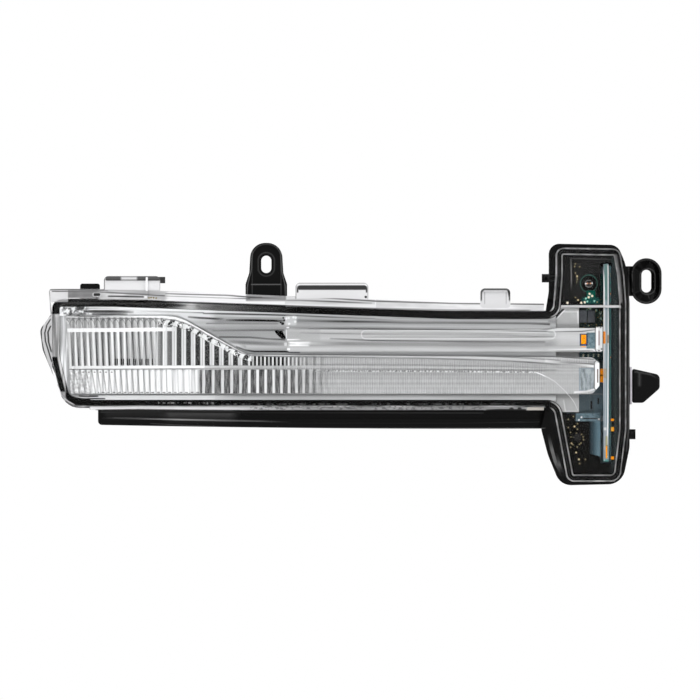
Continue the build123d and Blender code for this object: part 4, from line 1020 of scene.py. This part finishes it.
arc_line = [
    (536, 372.4, 0.95), (541, 374.3, 0.95), (548, 377.5, 0.95), (555, 381.6, 0.92), (563, 389, 0.9),
    (568, 394.2, 0.9),
]
lower.trace(1.3, *arc_line)
lower.patch(0.69, (545, 579), (367, 393), 3, 0.6)
lower.patch((0.5, 0.56, 0.59), (579, 595.5), (368, 391), 1.5, 0.75)
grid = lower.noise(900, squash=(1, 1, 0.3)).ramp([(0.4, 0.3), (0.6, 0.8)])
lower.patch(grid, (580, 595), (369, 390), 1.5, 0.35)
lower.trace(2, (574, 392.4, 0.9), (586, 391.6, 0.8), (596, 388.8, 0.85))
lower.slab(0.86, (594.6, 603.4), (360, 391), 3.6)
lower.slab(0.97, (595.2, 600.2), (363, 389.4), 2.4)
lower.slab((0.42, 0.36, 0.35), (597.1, 598.3), (369, 382.6), 0.5)
lower.slab((0.92, 0.54, 0.03), (600.1, 604.2), (369, 382.4), 0.8)
lower.ring(0.45, (594.4, 603.2), (360.2, 390.8), 3.6, width=0.9)
lower.bump(phase, 0.1, 0.0002)
lower.done()
guide_depths = (0.0032, 0.004, 0.008)
finished(merged_copy("lower_light_guide", "fluted_guide", STRIP, guide_depths), lower)

# %% [markdown]
# The upper light guide is a slim clear bar. Its edges, where the light bends away, show as painted
# dark lines; an oval line is moulded into its front, and its right end is a rounded inlet in front
# of an amber lamp chip.

# %% Upper light guide
upper = Drawing("slim_guide", 0.66, clear=guide_glass, tint=(0.98, 0.99, 1), Roughness=0.2)
upper.shown = upper.number(1)
slim_bands = [
    (325, 0.8), (328, 0.62), (330, 0.76), (331.5, 0.72), (333, 0.62), (335, 0.68), (338, 0.76),
    (340, 0.7), (342, 0.62), (343.4, 0.55), (345.5, 0.57), (347, 0.68), (349, 0.75), (351, 0.73),
    (353, 0.5),
]
slimmed, _, _ = upper.curve(upper.row, slim_bands)
upper.cover(1, slimmed)
upper.set(Specular_IOR_Level=0.15)
slim_streaks = upper.noise(420, squash=(0.04, 1, 1)).ramp([(0.3, 0.48), (0.7, 0.85)])
upper.cover(0.22, slim_streaks)
upper.patch(0.66, (286, 320), (327, 341), 3, 0.6)
# painted light and shade: dark lines at the guide's edges and light lines on its faces
slim_lines = {
    "upper edge": (1.5, [
        (287, 328.8, 0.7), (320, 328.7, 0.45), (345, 328.8, 0.37), (375, 329, 0.37), (410, 329.3, 0.42),
        (450, 329.8, 0.3), (490, 330, 0.31), (530, 330.8, 0.34), (550, 331.4, 0.5),
    ]),
    "light line under it": (1.2, [(361, 331, 0.74), (420, 331.2, 0.7), (490, 332, 0.76), (550, 333, 0.78)]),
    "grey line in the oval": (1.3, [
        (300, 332.8, 0.62), (330, 333.5, 0.57), (375, 334.1, 0.6), (420, 334.4, 0.64), (490, 335.2, 0.63),
        (535, 336.4, 0.55), (556, 336.6, 0.62),
    ]),
    "light line in the oval": (1.6, [
        (361, 337.4, 0.74), (420, 338.5, 0.72), (460, 339, 0.71), (500, 339.4, 0.72), (548, 339.2, 0.7),
    ]),
    "dark line under the oval": (1.6, [
        (330, 338.6, 0.62), (372, 340.3, 0.4), (420, 340.9, 0.48), (460, 341.5, 0.44), (500, 341.9, 0.45),
        (545, 341.9, 0.48),
    ]),
    "soft band": (2.6, [
        (296, 343, 0.84), (320, 343.4, 0.66), (345, 343.6, 0.53), (400, 344.2, 0.57), (500, 345.2, 0.57),
        (545, 345.4, 0.62),
    ]),
    "lower edge": (1.5, [
        (290, 352.8, 0.55), (320, 352.7, 0.4), (345, 353, 0.32), (375, 353.2, 0.24), (410, 353.6, 0.3),
        (450, 353.9, 0.28),
    ]),
}
upper.traces(slim_lines)
upper.trace(1.4, (285, 339.7, 0.95), (294, 339.6, 0.93), (300, 339.5, 0.8), ends=4)
upper.trace(2, (289, 342.6, 0.97), (298, 343, 0.97), (310, 342.6, 0.85), soft=1.4, ends=4)
upper.trace(2, (289, 345.2, 0.97), (298, 345.2, 0.97), (309, 345.4, 0.85), soft=1.4, ends=4)
upper.slab(0.97, (286.6, 290), (348.2, 350.2), 0.8, soft=1.2)
upper.slab(0.88, (284.6, 289.8), (351.6, 353), 0.6)
upper.patch(0.84, (548, 606), (323, 333), 5, 0.8)
upper.trace(1.6, (540, 330.6, 0.5), (556, 327.6, 0.6), (575, 326, 0.9), (594, 325.4, 0.94))
upper.trace(1.2, (548, 332, 0.6), (566, 331.6, 0.5), (582, 331.4, 0.42), (596, 329.6, 0.6))
upper.cover(upper.within((556, 600), None, 14) * upper.within(None, (333.5, 346), 4) * 0.7, 0.79)
upper.ring(0.86, (361.4, 555.4), (330.4, 338.8), 4.1, width=1.2, strength=0.75)
upper.cover(upper.within((552, 612), None, 14) * upper.within(None, (347, 354), 4) * 0.8, 0.7)
upper.trace(1.6, (548, 349.6, 0.76), (575, 349.4, 0.86), (592, 349, 0.9), (597, 351.6, 0.9))
upper.trace(1.2, (556, 351.4, 0.6), (590, 350.8, 0.55))
upper.trace(1.8, (540, 354, 0.6), (566, 353.4, 0.9), (585, 353.2, 0.95), (596, 352.6, 0.9))
behind_inlet = upper.mixed(upper.noise(900).between(0.4, 0.6), (0.33, 0.41, 0.44), (0.42, 0.5, 0.53))
upper.patch(behind_inlet, (586.6, 597), (332.6, 348.6), 1.2)
upper.patch((0.16, 0.22, 0.32), (579.8, 587.6), (333.8, 345.8), 1.2)
upper.patch((0.98, 0.6, 0), (581.1, 586.2), (334.7, 344.1), 0.7)
upper.dots((0.8, 0.36, 0.05), 0.7, (584, 338.2), (585.6, 343.6))
upper.patch((0.02, 0.32, 0.48), (582.6, 586), (344.4, 345.6), 0.5)
upper.patch((0.98, 0.66, 0.36), (581.4, 585.8), (346, 347.2), 0.7)
upper.slab(0.84, (595.6, 603.4), (324.6, 352.8), 3.4)
upper.slab(0.95, (596.2, 598.2), (328, 349), 0.9)
upper.slab((0.6, 0.54, 0.54), (598.4, 599.8), (330.6, 345.4), 0.6)
upper.dots(0.45, 0.9, (597.6, 326.6), (600.6, 327.4), (599, 350.6), (601.6, 349))
upper.ring(0.36, (595.2, 603.4), (324.8, 352.6), 3.6, width=0.9, strength=0.8)
upper.done()
slim_depths = (0.0036, 0.0039, 0.0057)
finished(merged_copy("upper_light_guide", "slim_guide", STRIP, slim_depths), upper)

# %% [markdown]
# The side guide is a clear upright bar. Its two long edges catch the light, which is painted on
# them as bright lines, and between them the teal solder mask of the board behind shows through.

# %% Side light guide and board
side_guide = Drawing(
    "side_guide", (0.5, 0.57, 0.62), clear=guide_glass, Roughness=0.2, Specular_IOR_Level=0.15,
)
side_guide.shown = side_guide.number(1)
upright_grain = side_guide.noise(500, squash=(1, 1, 0.05)).ramp([(0.35, 0.4), (0.65, 0.66)])
side_guide.cover(0.3, upright_grain)
side_guide.patch((0.36, 0.45, 0.46), (606.2, 607.8), strength=0.6)
side_guide.patch((0.3, 0.42, 0.4), (604, 608), (264, 300), 2, 0.8)
# painted highlights along the guide's two long edges
side_guide.trace(
    1.8, (269, 602.6, 0.95), (276, 603.4, 0.9), (290, 604, 0.86), (305, 604, 0.84), (363, 603.4, 0.86),
    (414, 602.6, 0.88), (462, 601.8, 0.84), upright=True,
)
side_guide.trace(
    1.4, (265, 607.8, 0.7), (275, 608.3, 0.84), (350, 608.4, 0.9), (420, 607.7, 0.86), (433, 607.4, 0.88),
    (445, 606.9, 0.8), upright=True,
)
side_guide.trace(0.9, (310, 606, 0.72), (400, 605.8, 0.72), (450, 604.6, 0.7), upright=True, strength=0.6)
side_guide.patch((0.84, 0.5, 0.2), (602.6, 605.6), (331.5, 343.6), 1)
side_guide.patch((0.5, 0.34, 0.2), (607.2, 609.6), (335, 343), 1, 0.6)
side_guide.patch((0.6, 0.5, 0.35), (603.2, 606.6), (368.5, 378), 1, 0.5)
side_guide.patch((0.55, 0.5, 0.25), (605.8, 607.2), (436, 448), 2, 0.7)
side_guide.slab(0.8, (603.8, 606.4), (427.4, 430.2), 0.5)
side_guide.patch((0.96, 0.58, 0), (605.7, 607.3), (446, 458.4), 0.8)
side_guide.patch((0.3, 0.52, 0.5), (600, 609), (459.5, 466), 2, 0.9)
# painted glints at the guide's foot
side_guide.cover(side_guide.specks(1500, 0.3) * side_guide.within((600, 609), (456, 466), 2), 0.8)
side_guide.done()
finished(rounded(merged_copy("side_light_guide", "side_guide", 0, (0.0032, 0.0052)), 0.0003), side_guide)

board = Drawing("green_board", (0.25, 0.34, 0.35), Roughness=0.4, Specular_IOR_Level=0.2)
board_grain = board.noise(260, squash=(1, 1, 0.3)).ramp([(0.35, 0.5), (0.65, 1)])
board.colour = board.mixed(board_grain, (0.1, 0.17, 0.18), (0.25, 0.36, 0.37))
board.patch((0.06, 0.14, 0.12), (574, 606), (286, 330), 2)
spots = board.specks(620, 0.34) * board.within((578, 600), (286, 326), 2)
board.cover(spots, (0.5, 0.62, 0.54))
board.patch((0.13, 0.17, 0.17), (611.8, 625), None, 1)
board.patch((0.12, 0.3, 0.28), (598.8, 602.8), (268, 304), 1.6)
board.patch((0.2, 0.38, 0.37), (609.6, 611.8), (306, 416), 0.8)
board.patch((0.85, 0.5, 0.02), (600, 603.9), (374, 380), 0.6)
board.dots((0.2, 0.5, 0.42), 1.3, (611.1, 282.7), (611.4, 288.6), (611.4, 290.6), (611.4, 300.4))
board.dots((0.85, 0.5, 0.3), 0.8, (610.9, 293.9), (612.4, 298.2), (614.7, 302.3), (611, 357.3))
gold = board.specks(1300, 0.22) * board.within((566, 616), (270, 330), 2)
board.cover(gold, (0.72, 0.6, 0.32))
board.done()

carrier = Drawing("blue_grey_carrier", (0.34, 0.4, 0.43), Roughness=0.45, Specular_IOR_Level=0.3)
brushed = carrier.noise(420, squash=(1, 1, 0.12)).ramp([(0.35, 0.28), (0.65, 0.44)])
carrier.colour = carrier.mixed(brushed * 1.6, (0.28, 0.34, 0.37), (0.4, 0.47, 0.5))
carrier.patch((0.1, 0.13, 0.13), (550, 600), (230, 330), 2)
carrier.patch((0.4, 0.48, 0.52), (594, 606), (354, 460), 2, 0.6)
carrier.patch((0.09, 0.09, 0.085), (560, 592), (421, 480), 2)
carrier.patch((0.52, 0.57, 0.6), (577, 604), (415.6, 420.8), 1.2)
carrier.ring(0.62, (576.4, 604), (394, 421), 3, width=1, strength=0.6)
carrier.patch((0.85, 0.5, 0.02), (600, 603.9), (374, 380), 0.6)
carrier.slab(0.12, (590.6, 592.2), (401, 409), 0.7)
carrier.slab(0.12, (597.6, 599), (398, 404), 0.6)
carrier.done()

# %% [markdown]
# The mask of the head is black plastic with a spark-eroded texture; the glints of its grains are painted on
# it.
# The holder beside it is light grey and even, with painted highlights along its edges.

# %% Mask and holder
mask = Drawing("black_mask", 0.06, Roughness=0.6, Specular_IOR_Level=0.06)
texture = mask.noise(1400, detail=3).ramp([(0.4, 0.03), (0.6, 0.11)])
mask.cover(0.6, texture)
mask.patch(0.16, (572, 614), (252, 300), 14, 0.7)
mask.patch(0.12, (560, 571.5), (250, 304), 1, 0.8)
# painted highlight along the mask's left edge
mask.trace(1.3, (258, 570.8, 0.3), (268, 571.2, 0.42), (280, 571.4, 0.42), (290, 571.4, 0.2), upright=True)
mask.slab(0.1, (580.8, 596.8), (275.6, 291.4), 7.9)
mask.ring((0.2, 0.32, 0.29), (580.4, 597.2), (275, 292), 8.3, width=1.2)
mask.slab((0.05, 0.32, 0.27), (586.6, 595.4), (290.4, 301), 1)
mask.slab((0.1, 0.3, 0.28), (582, 600), (297.4, 304), 2, soft=4)
plate_tone = mask.mixed(mask.column.between(589, 600), (0.15, 0.19, 0.21), (0.42, 0.53, 0.58))
plate_foot = mask.row - (mask.column - 590) * 0.27
mask.cover(mask.within((589.8, 602), (418, 470), 1.2) * (1 - plate_foot.between(453.2, 454.4)), plate_tone)
lip_tone = mask.mixed(mask.noise(500).between(0.4, 0.6), (0.33, 0.4, 0.43), (0.4, 0.48, 0.52))
mask.patch(lip_tone, (575.6, 602), (412, 421.4), 1.4)
mask.trace(1.1, (583, 418.6, 0.16), (597, 418.4, 0.2))
mask.dots(0.85, 1, (578.9, 420), (598.9, 419.2), (581.5, 417.2))
# painted glints on the grains: gold, white and teal specks
glint_specks = (
    (575.4, 263.8), (574.6, 266.6), (579.7, 266.8), (575.4, 273), (577.5, 279.3), (576.7, 282.1),
    (568.3, 419.4), (573.4, 416.4), (577.5, 423.7), (577.5, 429.2), (568.3, 427.5), (570.5, 432.4),
    (576.4, 433.2), (581.6, 434.3), (583.2, 436.8), (583.5, 439.7), (573.4, 437.3), (571, 437),
    (572.9, 444.6), (581, 443), (579.4, 444.3), (577.2, 447), (570.7, 447.3), (585.4, 459.5),
    (579.7, 463.6), (575.4, 297.4), (597.3, 302),
)
mask.dots((0.6, 0.56, 0.42), 0.75, *glint_specks)
mask.dots(
    (0.88, 0.8, 0.6), 0.9, (577.2, 276.3), (574.5, 426.5), (571.5, 443.3), (576.1, 452.5), (578.9, 459.3),
    (578, 300),
)
mask.dots(
    (0.94, 0.9, 0.8), 1.3, (588.7, 297.2), (592.2, 295.9), (589.7, 293.9), (567.5, 302.8), (581.4, 302.8),
    (584.6, 302.2),
)
mask.dots((0.05, 0.06, 0.06), 0.9, (583, 302.4))
mask.dots((0.6, 0.85, 0.78), 1, (585.9, 298.5), (587.4, 301.5), (594.3, 301))
mask.trace(1, (571, 258.4, 0.3), (610, 259.4, 0.28))
mask.patch((0.17, 0.2, 0.2), (610.5, 625), (252, 480), 1)
for bar_column, bar_tone in ((612.2, 0.16), (615.4, 0.25), (617.6, 0.16)):
    mask.cover(
        mask.within((bar_column - 0.9, bar_column + 0.9), (300, 470), 1.4) * 0.7,
        (bar_tone, bar_tone * 1.1, bar_tone * 1.1),
    )
glints = mask.specks(1250, 0.14)
mask.cover(glints * mask.within((566, 588), (414, 476), 3) * 0.6, (0.5, 0.47, 0.36))
mask.bump(mask.noise(1600), 0.15, 0.0001)
mask.done()

holder = Drawing("grey_holder", 0.74, tint=(0.985, 0.995, 1), Roughness=0.5, Specular_IOR_Level=0.3)
holder.cover(0.25, holder.noise(300).ramp([(0.35, 0.66), (0.65, 0.78)]))
# painted highlights along the holder's edges
holder.trace(1.3, (560, 311.8, 0.9), (579, 311.8, 0.86))
holder.trace(1.8, (311, 577.8, 0.92), (324, 578.2, 0.86), upright=True)
holder.trace(2.4, (309, 563.4, 0.15), (313, 559.6, 0.15), (317, 556, 0.2), (320, 553, 0.4), upright=True)
holder.trace(
    1.4, (310, 565, 0.92), (314, 561.2, 0.95), (318, 557.6, 0.92), (320.5, 554.6, 0.85), upright=True,
)
holder.trace(1.4, (564, 411.4, 0.86), (580, 411.4, 0.84))
holder.trace(1.3, (400, 563.6, 0.85), (411, 565.4, 0.85), upright=True)
holder.patch(0.62, (545, 600), (324, 398), 2, 0.7)
holder.trace(
    1.3, (558, 384.6, 0.94), (564, 390.6, 0.94), (570, 396.6, 0.94), (574, 402, 0.92),
    (578.5, 411.5, 0.85),
)
holder.done()

# %% [markdown]
# The small parts keep their solids' shapes with rounded edges. Chips are dark moulded packages,
# the lamp chips hold amber phosphor in a pale frame, and the screws are zinc-plated, with glints
# painted on the upper screw's head.

# %% Finishes of the small parts
def grained(name, low, high, scale, roughness, bump=0.05, **sockets):
    """A plain finish whose colour drifts between two tones with a noise."""
    made = Finish(name, Roughness=roughness, **sockets)
    made.set(Base_Color=made.mixed(made.noise(scale).between(0.35, 0.65), low, high))
    return made.bump(made.noise(scale * 8), bump, 0.00005)


amber = Drawing("amber_phosphor", (0.95, 0.57, 0.0), Roughness=0.45, Specular_IOR_Level=0.1)
amber.cover(amber.noise(900.0).between(0.4, 0.7) * 0.5, (0.88, 0.5, 0.02))
amber.patch((0.8, 0.76, 0.6), (609.4, 613), (426, 432), strength=0.4)
amber.done()
passive = Drawing("chip_parts", (0.5, 0.6, 0.53), Roughness=0.3, Specular_IOR_Level=0.5)
passive.cover(passive.noise(800.0).between(0.45, 0.55), (0.84, 0.82, 0.72))
passive.cover(passive.noise(1500.0).between(0.55, 0.6), (0.1, 0.2, 0.17))
passive.done()
head_screw = Drawing("dark_screw", 0.1, Roughness=0.4, Specular_IOR_Level=0.2)
head_screw.cover(head_screw.noise(900.0).between(0.45, 0.6) * 0.5, 0.2)
head_screw.ring(0.42, (585.2, 592.8), (280.0, 287.0), 3.5, width=1.0)
# painted glints on the upper screw's head
head_screw.dots((0.9, 0.6, 0.4), 0.8, (587.4, 283.4), (590.5, 283.4))
head_screw.dots(0.9, 0.9, (585.9, 283.7), (592.3, 283.2))
head_screw.done()
finishes = {
    "backing": grained("white_diffuser", (0.5, 0.5, 0.5), (0.62, 0.62, 0.62), 80.0, 0.6),
    "board": board,
    "carrier": carrier,
    "holder": holder,
    "mask": mask,
    "passives": passive,
    "pad": grained("milky_pad", (0.56, 0.53, 0.58), (0.72, 0.69, 0.74), 200.0, 0.3),
    "socket": grained(
        "black_socket", (0.008, 0.008, 0.008), (0.014, 0.014, 0.014), 120.0, 0.5, 0.2,
        Specular_IOR_Level=0.2,
    ),
    "seal": grained("orange_seal", (0.42, 0.1, 0.015), (0.55, 0.15, 0.03), 150.0, 0.5),
    "screw": head_screw,
    "chip": grained("chip_package", (0.03, 0.036, 0.045), (0.05, 0.058, 0.07), 300.0, 0.4, 0.1),
    "terminal": grained("tinned_terminal", (0.6, 0.52, 0.35), (0.75, 0.66, 0.48), 250.0, 0.3, Metallic=1.0),
    "led": amber,
}
round_edges = {"holder": 0.0003, "carrier": 0.0002, "pad": 0.0003, "socket": 0.0003, "seal": 0.0002,
               "chip": 0.0002, "terminal": 0.0001, "led": 0.00015, "mask": 0.0002, "board": 0.0001}
for part in frame["record"]["subparts"]:
    slot = part["material_slot"]
    if slot not in finishes:
        continue
    piece = merged_copy(part["node"], part["node"] + "_dressed")
    if slot == "holder":
        # the holder's left edge meets the reflector
        place = read(piece.data.vertices, "co", 3)
        left_edge = place[:, 0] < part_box(part["node"])[0][0] + 0.00005
        place[left_edge, 0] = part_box("bar_reflector")[1][0] + 0.00002
        piece.data.vertices.foreach_set("co", place.ravel())
        print("vertices of the holder moved to the reflector", int(left_edge.sum()))
    if slot in round_edges:
        rounded(piece, round_edges[slot])
    finished(piece, finishes[slot])
print("small parts dressed")

# %% [markdown]
# The photograph looks square onto the lamp from far away, so the camera is orthographic. The light
# is even: a white world, a wide lamp above and one at each side.

# %% Camera
view = bpy.data.cameras.new("front_camera")
view.type = "ORTHO"
view.ortho_scale = 700 * UNIT
view.clip_end = 10.0
camera = bpy.data.objects.new("front_camera", view)
camera.location = (float(across(350)), -0.9, float(up(350)))
camera.rotation_euler = (math.radians(90), 0, 0)
bpy.context.scene.collection.objects.link(camera)
bpy.context.scene.camera = camera

# %% Floor
floor_z = float(corner_low[2]) - 0.03
side = 3.0
floor_mesh = bpy.data.meshes.new("pale_floor")
floor_corners = [
    (-side, -side, floor_z), (side, -side, floor_z), (side, side, floor_z), (-side, side, floor_z),
]
floor_mesh.from_pydata(floor_corners, [], [(0, 1, 2, 3)])
floor = bpy.data.objects.new("pale_floor", floor_mesh)
bpy.context.scene.collection.objects.link(floor)
floor_finish = grained("pale_floor", (0.84, 0.84, 0.84), (0.88, 0.88, 0.88), 3.0, 0.9, 0.0)
floor_mesh.materials.append(floor_finish.material)
floor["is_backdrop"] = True

# %% World and lamps
world = bpy.data.worlds.new("white_studio")
bpy.context.scene.world = world
world.use_nodes = True
tree = world.node_tree
back = tree.nodes["Background"]
path = tree.nodes.new("ShaderNodeLightPath")
shown = tree.nodes.new("ShaderNodeMath")
shown.operation = "MAXIMUM"
tree.links.new(path.outputs["Is Camera Ray"], shown.inputs[0])
seen = tree.nodes.new("ShaderNodeMath")
seen.operation = "MAXIMUM"
tree.links.new(path.outputs["Is Glossy Ray"], seen.inputs[0])
tree.links.new(path.outputs["Is Transmission Ray"], seen.inputs[1])
tree.links.new(seen.outputs[0], shown.inputs[1])
strength = tree.nodes.new("ShaderNodeMapRange")
tree.links.new(shown.outputs[0], strength.inputs[0])
strength.inputs[3].default_value = 0.7
strength.inputs[4].default_value = 1.0
tree.links.new(strength.outputs[0], back.inputs[1])
back.inputs[0].default_value = (1, 1, 1, 1)


def soft_lamp(name, place, aim, size, power):
    """A square lamp at a place, turned to look at the aim."""
    data = bpy.data.lights.new(name, "AREA")
    data.size = size
    data.energy = power
    lamp = bpy.data.objects.new(name, data)
    lamp.location = place
    lamp.rotation_euler = (Vector(aim) - Vector(place)).to_track_quat("-Z", "Y").to_euler()
    bpy.context.scene.collection.objects.link(lamp)


soft_lamp("top_lamp", (0.03, -0.35, 0.55), (0.03, 0, -0.03), 0.5, 2.0)
soft_lamp("left_lamp", (-0.6, -0.5, 0.1), (0.03, 0, -0.03), 0.4, 1.0)
soft_lamp("right_lamp", (0.7, -0.5, 0.1), (0.03, 0, -0.03), 0.4, 1.0)
bpy.context.scene.view_settings.view_transform = "Standard"
